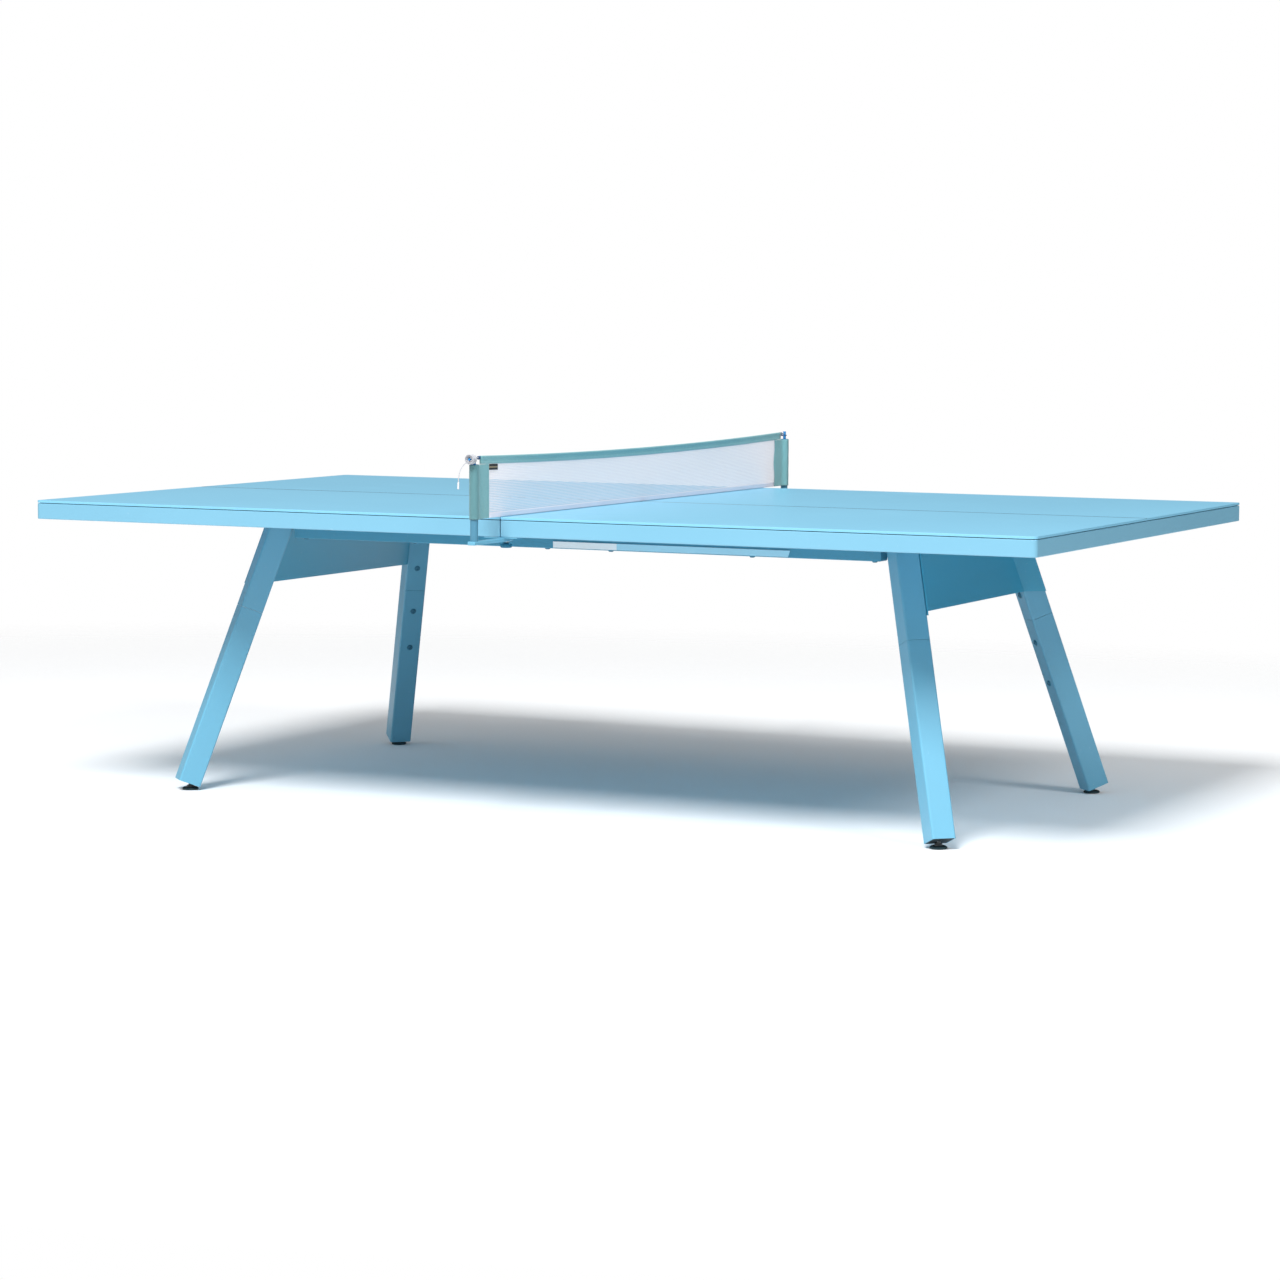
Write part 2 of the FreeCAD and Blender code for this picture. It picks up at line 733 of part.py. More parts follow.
def panel_section(half_sign, height):
    """The end panel's level section: a flat web whose two ends fold onto the legs."""
    thick = size("panel_thick")
    outward = leg_half_outward()
    flat = size("leg_width") / 2
    fold = thick * (ROOT2 - 1)
    inner = []
    outer = []
    for side_sign in SIDES.values():
        centre = leg_axis((half_sign, side_sign), height)
        out_dir = V(half_sign, side_sign, 0) / ROOT2
        face_dir = V(half_sign, -side_sign, 0) / ROOT2
        root = centre - out_dir * outward + face_dir * flat
        tip = centre + out_dir * outward + face_dir * flat
        inner.append((root, tip))
        outer.append((root + V(half_sign * thick, -side_sign * fold, 0), tip + face_dir * thick))
    (near_root, near_tip), (far_root, far_tip) = inner
    (near_fold, near_lip), (far_fold, far_lip) = outer
    loop = [near_root, near_tip, near_lip, near_fold, far_fold, far_lip, far_tip, far_root]
    return Part.makePolygon(loop + loop[:1])


def make_panel(half, sign):
    """The sheet that ties the two upper legs of one end together."""
    sections = [panel_section(sign, size(level)) for level in ("panel_low", CROSS_LOW)]
    return shape_node(f"end_panel_{half}", Part.makeLoft(sections, True, True))


# ---------------------------------------------------------------- feet


def foot_place(corner):
    """The foot's centre on the floor."""
    sign_x, sign_y = corner
    inset = size("foot_inset")
    return V(
        sign_x * (size(LEG_FOOT_X) - inset), sign_y * (size(LEG_FOOT_Y) - inset), 0
    )


def make_foot(name, corner):
    """A rubber foot with a socket, and the threaded stem that turns in it."""
    bore = "stem_width / 2 + running_gap"
    top = "foot_tall"
    pad_body = turned(
        f"foot_pad_{name}",
        [
            ("0", "0"),
            ("foot_width / 2 - 1.5", "0"),
            ("foot_width / 2", "1.5"),
            ("foot_width / 2", f"{top} - 2.5"),
            ("foot_width / 2 - 4", top),
            (bore, top),
            (bore, "stem_floor - running_gap"),
            ("0", "stem_floor - running_gap"),
        ],
    )
    pad_body.Placement.Base = foot_place(corner)
    node(pad_body, f"foot_pad_{name}")
    stem = new_body(f"foot_stem_{name}")
    sketch = new_sketch(stem, "XY_Plane")
    circle(sketch, "stem_width")
    sketch.AttachmentOffset = FreeCAD.Placement(V(0, 0, size("stem_floor")), FreeCAD.Rotation())
    pad(stem, sketch, "stem_top - stem_floor")
    collar = new_sketch(stem, "XY_Plane")
    collar.AttachmentOffset = FreeCAD.Placement(
        V(0, 0, size("foot_tall + collar_gap")), FreeCAD.Rotation()
    )
    corners = [(math.cos(math.radians(a)), math.sin(math.radians(a))) for a in range(30, 390, 60)]
    reach = "collar_width / 2 / cos(30 deg)"
    outline(collar, [(f"{cos:.9f} * {reach}", f"{sin:.9f} * {reach}") for cos, sin in corners])
    pad(stem, collar, "collar_tall")
    stem.Placement.Base = foot_place(corner)
    return node(stem, f"foot_stem_{name}")


def make_foot_plugs():
    """Plugs in the legs' lower ends, each with an upright threaded hole for its stem."""
    plugs = []
    for name, corner in CORNERS.items():
        body = new_body(f"foot_plug_{name}")
        sketch = new_sketch(body, "XY_Plane")
        sketch.AttachmentOffset = FreeCAD.Placement(
            V(0, 0, along_leg(size(LEG_END))), FreeCAD.Rotation()
        )
        rectangle(sketch, JOINER_WIDTH, JOINER_WIDTH)
        pad(body, sketch, "plug_long")
        body.Placement = leg_placement(corner)
        drill = doc.addObject("Part::Cylinder", f"foot_hole_{name}")
        drill.setExpression("Radius", bound("stem_width / 2 + running_gap"))
        drill.setExpression("Height", bound("leg_joint / 2"))
        drill.Placement.Base = foot_place(corner)
        plugs.append(cut_away(body, drill, f"foot_plug_bored_{name}"))
    return group_of("foot_plugs", plugs)


# ---------------------------------------------------------------- net posts and clamps


def make_post(side, sign):
    """A round tube that stands on the arm and carries the net's sleeve."""
    body = new_body(f"net_post_{side}")
    sketch = new_sketch(body, "XY_Plane")
    circle(sketch, "post_width")
    circle(sketch, "post_width - 2 * post_wall")
    pad(body, sketch, f"{POST_TOP} - {ARM_TOP}")
    body.Placement.Base = V(0, sign * size("post_out"), size(ARM_TOP))
    return node(body, f"net_post_{side}")


def make_arm(side, sign):
    """The flat tube that reaches from the post in under the table's edge."""
    tube = hollow_tube(
        f"arm_tube_{side}", "XZ_Plane", "arm_wide", "arm_tall", "arm_wall",
        "arm_outer - arm_inner",
    )
    middle = sign * (size("arm_outer") + size("arm_inner")) / 2
    tube.Placement.Base = V(0, middle, size(ARM_TOP) - size("arm_tall") / 2)
    drill = doc.addObject("Part::Cylinder", f"arm_hole_{side}")
    drill.setExpression("Radius", bound("screw_width / 2 + running_gap"))
    drill.setExpression("Height", bound("2 * arm_tall"))
    drill.Placement.Base = V(0, sign * size("clamp_out"), size(ARM_LOW) - size("arm_tall") / 2)
    return node(cut_away(tube, drill, f"arm_bored_{side}"), f"net_arm_{side}")


def make_clamp_plates():
    """A threaded plate under both halves of the top at each end of the net."""
    plates = []
    for side, sign in SIDES.items():
        plate = new_body(f"clamp_plate_{side}")
        sketch = new_sketch(plate, "XY_Plane")
        rectangle(sketch, "clamp_plate_long", "clamp_plate_wide")
        circle(sketch, "screw_width + 2 * running_gap")
        pad(plate, sketch, "clamp_plate_thick")
        plate.Placement.Base = V(0, sign * size("clamp_out"), size(ARM_TOP))
        plates.append(plate)
    return group_of("clamp_plates", plates)


def make_clamp(side, sign):
    """The hand knob with its screw, and the washer that rides on the screw."""
    place = V(0, sign * size("clamp_out"), size(ARM_LOW))
    washer = new_body(f"clamp_washer_{side}")
    sketch = new_sketch(washer, "XY_Plane")
    circle(sketch, "washer_width")
    circle(sketch, "screw_width + 2 * running_gap")
    pad(washer, sketch, "washer_thick")
    washer.Placement.Base = place - V(0, 0, size("washer_thick"))
    node(washer, f"clamp_washer_{side}")
    top = "-(washer_thick + knob_gap)"
    disc = f"({top} - hub_tall)"
    low = f"({disc} - knob_tall)"
    rim = "knob_width / 2"
    knob = turned(
        f"clamp_knob_{side}",
        [
            ("0", f"{low} + 1.5"),
            (f"{rim} - 8", f"{low} + 1.5"),
            (f"{rim} - 5", low),
            (f"{rim} - 2.5", low),
            (rim, f"{low} + 2.5"),
            (rim, f"{disc} - 2.5"),
            (f"{rim} - 2.5", disc),
            ("hub_width / 2", disc),
            ("hub_width / 2", top),
            ("screw_width / 2", top),
            ("screw_width / 2", "arm_tall + clamp_plate_thick"),
            ("0", "arm_tall + clamp_plate_thick"),
        ],
    )
    knob.Placement.Base = place
    return node(knob, f"clamp_knob_{side}")


def make_post_rods():
    """A plastic rod in each post's top; the near one has a peg for the wound cord."""
    rods = []
    for sign in SIDES.values():
        low = size(POST_TOP) - size("rod_below")
        rod = Part.makeCylinder(
            size("rod_width") / 2, size("rod_below") + size("rod_above"),
            V(0, sign * size("post_out"), low),
        )
        lid = Part.makeCylinder(
            size("post_width") / 2, size("rod_lid"), V(0, sign * size("post_out"), size(POST_TOP))
        )
        filler = Part.makeCylinder(
            size("post_width") / 2 - size("post_wall") - size("plug_clearance"),
            size("rod_below"), V(0, sign * size("post_out"), low),
        )
        rod = rod.fuse([lid, filler])
        if sign < 0:
            reach = size("hank_out") + size("hank_long") / 2 - 1 - size("post_out")
            peg = Part.makeCylinder(
                size("peg_width") / 2, reach,
                V(0, -size("post_out"), size(POST_TOP) + size("hank_rise")), V(0, -1, 0),
            )
            rod = rod.fuse(peg)
        rods.append(rod.removeSplitter())
    return shape_node("post_rods", Part.makeCompound(rods))


# ---------------------------------------------------------------- the net


def net_height(across):
    """Height of the net's sagging top edge at a distance from mid span."""
    sag = size("net_sag")
    radius = (size("post_out") ** 2 + sag**2) / (2 * sag)
    return size(NET_TOP) - sag + radius - math.sqrt(radius**2 - across**2)


def net_arc(half, drop):
    """The sagging line that runs a given distance below the net's top edge."""
    end = net_height(half) - drop
    return Part.Arc(V(0, -half, end), V(0, 0, net_height(0) - drop), V(0, half, end))


def net_strip(half, drop, thick, bottom=None, tall=0):
    """A flat strip of net under a sagging line, down to bottom or tall millimetres deep."""
    top = net_arc(half, drop).toShape()
    if bottom is None:
        low = net_arc(half, drop + tall).toShape()
    else:
        low = Part.LineSegment(V(0, -half, bottom), V(0, half, bottom)).toShape()
    edges = [top, low]
    for sign in (-1, 1):
        high_end = V(0, sign * half, net_height(half) - drop)
        low_end = V(0, sign * half, net_height(half) - drop - tall)
        if bottom is not None:
            low_end.z = bottom
        edges.append(Part.LineSegment(high_end, low_end).toShape())
    face = Part.Face(Part.Wire(Part.__sortEdges__(edges)))
    strip = face.extrude(V(thick, 0, 0))
    strip.translate(V(-thick / 2, 0, 0))
    return strip


def cord_round(route, width, start_direction):
    """A round cord along a wire."""
    start = route.Vertexes[0].Point
    ring = Part.Wire(Part.makeCircle(width / 2, start, start_direction))
    return route.makePipeShell([ring], True, False)


def make_net_band():
    """The tape folded over the net cord, hollow where the cord runs."""
    band = net_strip(size("band_half"), 0, size("band_thick"), tall=size("band_tall"))
    return shape_node("net_band", band.cut(net_cord_shape(size("soft_gap"))))


def net_cord_shape(extra):
    """The tight cord from one rod to the other, or the channel round it."""
    half = size("post_out") - size("rod_width") / 2 - size("soft_gap")
    arc = net_arc(half, size("band_tall") / 4)
    route = Part.Wire(arc.toShape())
    width = size("cord_width") + 2 * extra
    return cord_round(route, width, arc.tangent(arc.FirstParameter)[0])


def make_net_cord():
    return shape_node("net_cord", net_cord_shape(0))


def make_net_mesh():
    """The mesh as a thin closed sheet between the sleeves, the band and the hem."""
    gap = size("soft_gap")
    half = size("post_out") - size("sleeve_reach") - gap
    low = size("table_height") + size("net_lift") + size("hem_tall") + gap
    strip = net_strip(half, size("band_tall") + gap, size("net_thick"), bottom=low)
    return shape_node("net_mesh", strip)


def make_net_hem():
    """The tape along the net's lower edge."""
    half = size("post_out") - size("sleeve_reach") - size("soft_gap")
    low = size("table_height") + size("net_lift")
    hem = Part.makeBox(
        size("hem_thick"), 2 * half, size("hem_tall"), V(-size("hem_thick") / 2, -half, low)
    )
    return shape_node("net_hem", hem)


def make_net_sleeve(side, sign):
    """The cloth pocket that slips over a post, with its flat seam towards the net."""
    gap = size("soft_gap")
    low = size("table_height") + size("net_lift")
    tall = size(POST_TOP) - low
    inner = size("post_width") / 2 + gap
    axis = V(0, sign * size("post_out"), low)
    pocket = Part.makeCylinder(inner + size("sleeve_skin"), tall, axis)
    flat = Part.makeBox(
        size("sleeve_flat"), size("sleeve_reach"), tall, V(-size("sleeve_flat") / 2, 0, 0)
    )
    start = size("post_out") - size("sleeve_reach")
    flat.translate(V(0, start if sign > 0 else -size("post_out"), low))
    sleeve = pocket.fuse(flat).cut(Part.makeCylinder(inner, tall, axis))
    return shape_node(f"net_sleeve_{side}", sleeve.removeSplitter().Solids[0])


def make_cord_hank():
    """The spare cord, wound on the peg beside the near post."""
    axis_z = size(POST_TOP) + size("hank_rise")
    start = V(0, -size("hank_out") - size("hank_long") / 2, axis_z)
    hank = Part.makeCylinder(size("hank_width") / 2, size("hank_long"), start, V(0, 1, 0))
    bore = Part.makeCylinder(
        size("peg_width") / 2 + size("soft_gap"), size("hank_long"), start, V(0, 1, 0)
    )
    return shape_node("cord_hank", hank.cut(bore))


def rounded_route(points):
    """Straight runs joined by arcs as large as the runs allow; prints each radius."""
    edges = []
    start = points[0]
    for before, here, after in zip(points, points[1:], points[2:]):
        run_in = here - before
        run_out = after - here
        turn = run_in.getAngle(run_out)
        shorter = min(run_in.Length, run_out.Length)
        reach = 0.45 * shorter
        print(f"cord tail: radius {reach / math.tan(turn / 2):.1f} mm")
        run_in.normalize()
        run_out.normalize()
        arc_start = here - run_in * reach
        arc_end = here + run_out * reach
        bisector = run_out - run_in
        bisector.normalize()
        radius = reach / math.tan(turn / 2)
        sag = radius / math.cos(turn / 2) - radius
        edges.append(Part.LineSegment(start, arc_start).toShape())
        edges.append(Part.Arc(arc_start, here + bisector * sag, arc_end).toShape())
        start = arc_end
    edges.append(Part.LineSegment(start, points[-1]).toShape())
    return Part.Wire(edges)


def make_cord_tail():
    """The free end of the cord, and the plastic end on it."""
    top = size(POST_TOP)
    points = [V(x, -out, top + rise) for x, out, rise in TAIL_ROUTE]
    route = rounded_route(points)
    tail = cord_round(route, size("cord_width"), points[1] - points[0])
    ideal = math.pi * (size("cord_width") / 2) ** 2 * route.Length
    print(f"cord tail: length {route.Length:.1f} mm, volume ratio {tail.Volume / ideal:.4f}")
    shape_node("cord_tail", tail)
    along = points[-1] - points[-2]
    along.normalize()
    end = Part.makeCylinder(
        size("cord_end_width") / 2, size("cord_end_long"), points[-1], along
    )
    return shape_node("cord_end", end.makeChamfer(0.8, [end.Edges[0], end.Edges[2]]))


# ---------------------------------------------------------------- the whole table


def build():
    for half, sign in HALVES.items():
        make_board(half, sign)
        make_apron(half, sign)
        make_bearer(half, sign)
        make_battens(half, sign)
        make_panel(half, sign)
    make_gaskets()
    for side, sign in SIDES.items():
        make_beam(side, sign)
        make_post(side, sign)
        make_arm(side, sign)
        make_clamp(side, sign)
        make_net_sleeve(side, sign)
    make_beam_caps()
    make_name_plate()
    make_beam_bolts()
    for name, corner in CORNERS.items():
        make_upper_leg(name, corner)
        make_lower_leg(name, corner)
        make_foot(name, corner)
    make_leg_joiners()
    make_leg_bolts()
    make_foot_plugs()
    make_clamp_plates()
    make_post_rods()
    make_net_band()
    make_net_cord()
    make_net_mesh()
    make_net_hem()
    make_cord_hank()
    make_cord_tail()


def check_and_write():
    """Stops on any failed object or bad solid, then writes one file per piece."""
    doc.recompute()
    failed = [o.Name for o in doc.Objects if {"Invalid", "Error"} & set(o.State)]
    if failed:
        raise RuntimeError(f"these objects failed: {failed}")
    for piece in nodes:
        if piece.Shape.isNull() or not piece.Shape.isValid() or not piece.Shape.Solids:
            raise RuntimeError(f"{piece.Label} has no valid shape")
    labels = [piece.Label for piece in nodes]
    if len(set(labels)) != len(labels):
        raise RuntimeError("two pieces share a name")
    os.makedirs("parts", exist_ok=True)
    for piece in nodes:
        piece.Shape.exportStep(f"parts/{piece.Label}.step")
    print(f"{len(nodes)} pieces")


build()
check_and_write()
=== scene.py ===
import bmesh
import bpy
import math
from mathutils import Matrix, Vector


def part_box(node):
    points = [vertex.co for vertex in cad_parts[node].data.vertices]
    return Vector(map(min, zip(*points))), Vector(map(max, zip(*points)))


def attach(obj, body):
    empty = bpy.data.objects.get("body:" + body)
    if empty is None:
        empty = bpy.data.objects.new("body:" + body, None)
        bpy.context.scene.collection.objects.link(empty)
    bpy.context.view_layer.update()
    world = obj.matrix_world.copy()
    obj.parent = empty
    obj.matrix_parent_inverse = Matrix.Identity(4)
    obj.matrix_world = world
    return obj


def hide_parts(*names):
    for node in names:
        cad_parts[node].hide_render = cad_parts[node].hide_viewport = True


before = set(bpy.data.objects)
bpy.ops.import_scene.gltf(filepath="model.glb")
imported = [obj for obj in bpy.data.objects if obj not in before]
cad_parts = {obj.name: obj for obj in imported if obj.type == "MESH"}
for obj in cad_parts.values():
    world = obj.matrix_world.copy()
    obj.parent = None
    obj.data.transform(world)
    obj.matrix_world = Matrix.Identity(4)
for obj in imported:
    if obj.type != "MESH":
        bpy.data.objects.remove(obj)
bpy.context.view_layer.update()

# ---------------------------------------------------------------- view and studio
# The table stands on a plain pale floor in a white studio, lit softly from above on
# its near side. The camera looks down at it from the near right.

scene = bpy.context.scene
scene.view_settings.view_transform = "Standard"

LENS = 99.63
CAMERA_PLACE = (4.1346, -8.2235, 1.2941)
CAMERA_YAW = 0.466393
CAMERA_DIP = 0.0970845
CAMERA_ROLL = 0.00431331
camera_data = bpy.data.cameras.new("camera")
camera_data.sensor_width = 36.0
camera_data.lens = LENS
camera_data.clip_end = 100.0
camera = bpy.data.objects.new("camera", camera_data)
scene.collection.objects.link(camera)
camera.matrix_world = (
    Matrix.Translation(CAMERA_PLACE)
    @ Matrix.Rotation(CAMERA_YAW, 4, "Z")
    @ Matrix.Rotation(math.radians(90) - CAMERA_DIP, 4, "X")
    @ Matrix.Rotation(CAMERA_ROLL, 4, "Z")
)
scene.camera = camera


class Socket:
    """A shader value that can be written in sums; every operator adds a Math node."""

    def __init__(self, paint, link):
        self.paint = paint
        self.link = link

    def math(self, operation, *others):
        values = dict(enumerate([self, *others]))
        return self.paint.node("ShaderNodeMath", {"operation": operation}, values)

    def __add__(self, other):
        return self.math("ADD", other)

    __radd__ = __add__

    def __sub__(self, other):
        return self.math("SUBTRACT", other)

    def __rsub__(self, other):
        return self.math("MULTIPLY", -1.0).math("ADD", other)

    def __mul__(self, other):
        return self.math("MULTIPLY", other)

    __rmul__ = __mul__

    def clamp(self):
        return self.math("MAXIMUM", 0.0).math("MINIMUM", 1.0)

    def over(self, edge):
        return self.math("GREATER_THAN", edge)

    def under(self, edge):
        return self.math("LESS_THAN", edge)

    def sine(self):
        return self.math("SINE")


class Paint:
    """A material whose shader is set up once: fixed values go straight on its sockets."""

    def __init__(self, name, **fixed):
        self.material = bpy.data.materials.new(name)
        self.material.use_nodes = True
        self.tree = self.material.node_tree
        self.shader = self.tree.nodes["Principled BSDF"]
        for key, value in fixed.items():
            self.shader.inputs[key.replace("_", " ")].default_value = value

    def node(self, kind, settings=None, values=None, output=0):
        made = self.tree.nodes.new(kind)
        for key, value in (settings or {}).items():
            setattr(made, key, value)
        for key, value in (values or {}).items():
            self.feed(made.inputs[key], value)
        return Socket(self, made.outputs[output])

    def feed(self, socket, value):
        if isinstance(value, Socket):
            self.tree.links.new(value.link, socket)
        elif isinstance(value, (tuple, list)) and len(value) == 3 and socket.type == "RGBA":
            socket.default_value = (*value, 1.0)
        else:
            socket.default_value = value

    def place(self):
        """Object coordinates: metres in the table's own frame."""
        return self.node("ShaderNodeTexCoord", output="Object")

    def axes(self, vector=None):
        made = self.tree.nodes.new("ShaderNodeSeparateXYZ")
        self.feed(made.inputs[0], vector or self.place())
        return [Socket(self, made.outputs[axis]) for axis in "XYZ"]

    def noise(self, scale, detail=2.0, stretch=(1, 1, 1), roughness=0.5):
        mapped = self.node("ShaderNodeMapping", {}, {"Vector": self.place(), "Scale": stretch})
        values = {"Vector": mapped, "Scale": scale, "Detail": detail, "Roughness": roughness}
        return self.node("ShaderNodeTexNoise", {}, values)

    def mix(self, amount, first, second):
        values = {0: amount, 6: first, 7: second}
        return self.node("ShaderNodeMix", {"data_type": "RGBA"}, values, output=2)

    def bump(self, height, distance, strength=1.0):
        values = {"Height": height, "Distance": distance, "Strength": strength}
        return self.node("ShaderNodeBump", {}, values)

    def finish(self, **links):
        for key, value in links.items():
            self.feed(self.shader.inputs[key.replace("_", " ")], value)
        return self.material


def rgb(red, green, blue):
    """A colour given as display values from 0 to 255, made linear."""
    shares = [value / 255 for value in (red, green, blue)]
    return tuple(v / 12.92 if v <= 0.04045 else ((v + 0.055) / 1.055) ** 2.4 for v in shares)


def wear(node_name, material):
    """Gives a CAD piece its material."""
    mesh = bpy.data.objects[node_name].data
    mesh.materials.clear()
    mesh.materials.append(material)


floor_mesh = bmesh.new()
bmesh.ops.create_grid(floor_mesh, x_segments=1, y_segments=1, size=12.0)
floor_data = bpy.data.meshes.new("studio_floor")
floor_mesh.to_mesh(floor_data)
floor_mesh.free()
floor = bpy.data.objects.new("studio_floor", floor_data)
scene.collection.objects.link(floor)
floor_paint = Paint("studio_floor", Roughness=0.9)
floor_paint.shader.inputs["Specular IOR Level"].default_value = 0.1
floor_x, floor_y, _ = floor_paint.axes()
FLOOR_CLEAR_FROM = 4.4
floor_reach = (floor_x * floor_x * 0.55 + floor_y * floor_y).math("SQRT")
floor_fade = ((FLOOR_CLEAR_FROM - floor_reach) * 0.5).clamp()
floor_tone = floor_paint.noise(3.0, 3.0)
floor_data.materials.append(
    floor_paint.finish(
        Base_Color=floor_paint.mix(floor_tone, (0.89, 0.90, 0.91), (0.91, 0.92, 0.93)),
        Alpha=floor_fade,
    )
)

# The studio gives most light from above and towards the near left. Behind the table
# the camera sees it as plain white.
SKY_DIM = 0.10
SKY_BRIGHT = 0.66
world = bpy.data.worlds.new("studio")
scene.world = world
world.use_nodes = True
sky = world.node_tree
sky_direction = sky.nodes.new("ShaderNodeTexCoord")
sky_side = sky.nodes.new("ShaderNodeVectorMath")
sky_side.operation = "DOT_PRODUCT"
sky_side.inputs[1].default_value = (-0.25, -0.62, 0.74)
sky_ramp = sky.nodes.new("ShaderNodeMapRange")
sky_ramp.inputs["From Min"].default_value = -0.5
sky_ramp.inputs["From Max"].default_value = 1.0
sky_ramp.inputs["To Min"].default_value = SKY_DIM
sky_ramp.inputs["To Max"].default_value = SKY_BRIGHT
sky_seen = sky.nodes.new("ShaderNodeLightPath")
sky_mix = sky.nodes.new("ShaderNodeMix")
sky_mix.inputs["B"].default_value = 1.0
sky.links.new(sky_direction.outputs["Generated"], sky_side.inputs[0])
sky.links.new(sky_side.outputs["Value"], sky_ramp.inputs["Value"])
sky.links.new(sky_seen.outputs["Is Camera Ray"], sky_mix.inputs["Factor"])
sky.links.new(sky_ramp.outputs["Result"], sky_mix.inputs["A"])
sky.links.new(sky_mix.outputs["Result"], sky.nodes["Background"].inputs["Strength"])
sky.nodes["Background"].inputs["Color"].default_value = (1.0, 1.0, 1.0, 1.0)


def soft_light(name, place, target, side, power):
    """A square soft lamp at a place, aimed at a target."""
    data = bpy.data.lights.new(name, "AREA")
    data.shape = "RECTANGLE"
    data.size = side
    data.size_y = side
    data.energy = power
    lamp = bpy.data.objects.new(name, data)
    scene.collection.objects.link(lamp)
    lamp.location = place
    lamp.rotation_euler = (Vector(target) - Vector(place)).to_track_quat("-Z", "Y").to_euler()


soft_light("key", (0.9, -7.7, 10.2), (0.0, 0.0, 0.5), 4.2, 1650.0)
soft_light("fill", (7.5, -3.0, 7.4), (0.0, 0.0, 0.6), 2.5, 300.0)

# ---------------------------------------------------------------- cord tail
# The free end of the net cord hangs off the wound cord at the near post. It is white
# braided cord with a moulded end, about seven centimetres long.

braid = Paint("white_cord", Roughness=0.75, Sheen_Weight=0.2)
BRAID_TURNS = 2600.0
CORD_RADIUS = 0.00125
_, braid_y, braid_z = braid.axes()
strands = (braid_z * BRAID_TURNS + braid_y * BRAID_TURNS).sine()
cross_strands = (braid_z * BRAID_TURNS - braid_y * BRAID_TURNS).sine()
braid_height = strands * cross_strands
# The braid's dips are painted darker than its strands: painted shade.
braid_groove_shade = (braid_height * 0.5 + 0.5).clamp()
white_cord = braid.finish(
    Base_Color=braid.mix(braid_groove_shade, rgb(158, 160, 168), rgb(204, 205, 208)),
    Normal=braid.bump(braid_height, 0.0002, 0.7),
)

TAIL_POINTS = [
    (0.0, -0.9162, 0.8990),
    (-0.0015, -0.9280, 0.8975),
    (-0.0030, -0.9410, 0.8905),
    (-0.0035, -0.9520, 0.8800),
    (-0.0025, -0.9605, 0.8675),
    (-0.0010, -0.9640, 0.8530),
]
tail_curve = bpy.data.curves.new("cord_tail_line", "CURVE")
tail_curve.dimensions = "3D"
tail_curve.bevel_depth = CORD_RADIUS
tail_curve.bevel_resolution = 4
tail_curve.use_fill_caps = True
tail_spline = tail_curve.splines.new("NURBS")
tail_spline.points.add(len(TAIL_POINTS) - 1)
for point, place in zip(tail_spline.points, TAIL_POINTS):
    point.co = (*place, 1.0)
tail_spline.order_u = 3
tail_spline.use_endpoint_u = True
tail_spline.resolution_u = 12
tail_curve.materials.append(white_cord)
cord_tail = bpy.data.objects.new("cord_tail_line", tail_curve)
scene.collection.objects.link(cord_tail)
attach(cord_tail, "table")
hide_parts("cord_tail")

end_plastic = Paint("cord_end_plastic", Roughness=0.3, Coat_Weight=0.2)
end_speck = end_plastic.noise(900.0, 2.0)
wear(
    "cord_end",
    end_plastic.finish(
        Base_Color=end_plastic.mix(end_speck, rgb(196, 199, 204), rgb(214, 216, 220)),
        Normal=end_plastic.bump(end_speck, 0.00005, 0.3),
    ),
)

# ---------------------------------------------------------------- feet
# Four moulded rubber feet stand on the floor. A zinc-plated threaded stem with a
# hexagon turns in each, and screws up into a black plug in the leg's end.

rubber = Paint("foot_rubber", Roughness=0.8)
rubber_z = rubber.axes()[2]
rubber_grain = rubber.noise(1400.0, 3.0)
rubber_rings = (rubber_z * 3600.0).sine()
rubber_dust = (rubber.noise(60.0, 4.0) * 2.0 - 0.75 - rubber_z * 60.0).clamp()
foot_rubber = rubber.finish(
    Base_Color=rubber.mix(rubber_dust, rgb(22, 52, 60), rgb(74, 92, 98)),
    Roughness=0.72 + rubber_grain * 0.2,
    Normal=rubber.bump(rubber_grain + rubber_rings * 0.6, 0.00018, 0.6),
)

zinc = Paint("bright_zinc", Metallic=0.9)
zinc_cloud = zinc.noise(260.0, 4.0)
bright_zinc = zinc.finish(
    Base_Color=zinc.mix(zinc_cloud, (0.52, 0.56, 0.58), (0.74, 0.76, 0.76)),
    Roughness=0.28 + zinc_cloud * 0.22,
    Normal=zinc.bump(zinc_cloud, 0.00006, 0.4),
)

THREAD_PITCH = 0.0015
threaded = Paint("threaded_zinc", Metallic=0.9)
thread_z = threaded.axes()[2]
thread = (thread_z * (2 * math.pi / THREAD_PITCH)).sine()
# The thread's grooves are painted darker than its crests: painted shade.
threaded_zinc = threaded.finish(
    Base_Color=threaded.mix((thread * 0.5 + 0.5).clamp(), (0.20, 0.22, 0.23), (0.66, 0.69, 0.70)),
    Roughness=0.42 - thread * 0.1,
    Normal=threaded.bump(thread, 0.0006, 0.9),
)

moulded = Paint("black_plastic", Roughness=0.5)
moulded_grain = moulded.noise(1800.0, 2.0)
black_plastic = moulded.finish(
    Base_Color=moulded.mix(moulded_grain, rgb(26, 40, 46), rgb(44, 58, 64)),
    Roughness=0.45 + moulded_grain * 0.2,
    Normal=moulded.bump(moulded_grain, 0.0001, 0.5),
)

LEGS = {
    "near_left": (-1, -1),
    "near_right": (1, -1),
    "far_left": (-1, 1),
    "far_right": (1, 1),
}
for leg in LEGS:
    wear(f"foot_pad_{leg}", foot_rubber)
    wear(f"foot_stem_{leg}", threaded_zinc)
wear("foot_plugs", black_plastic)
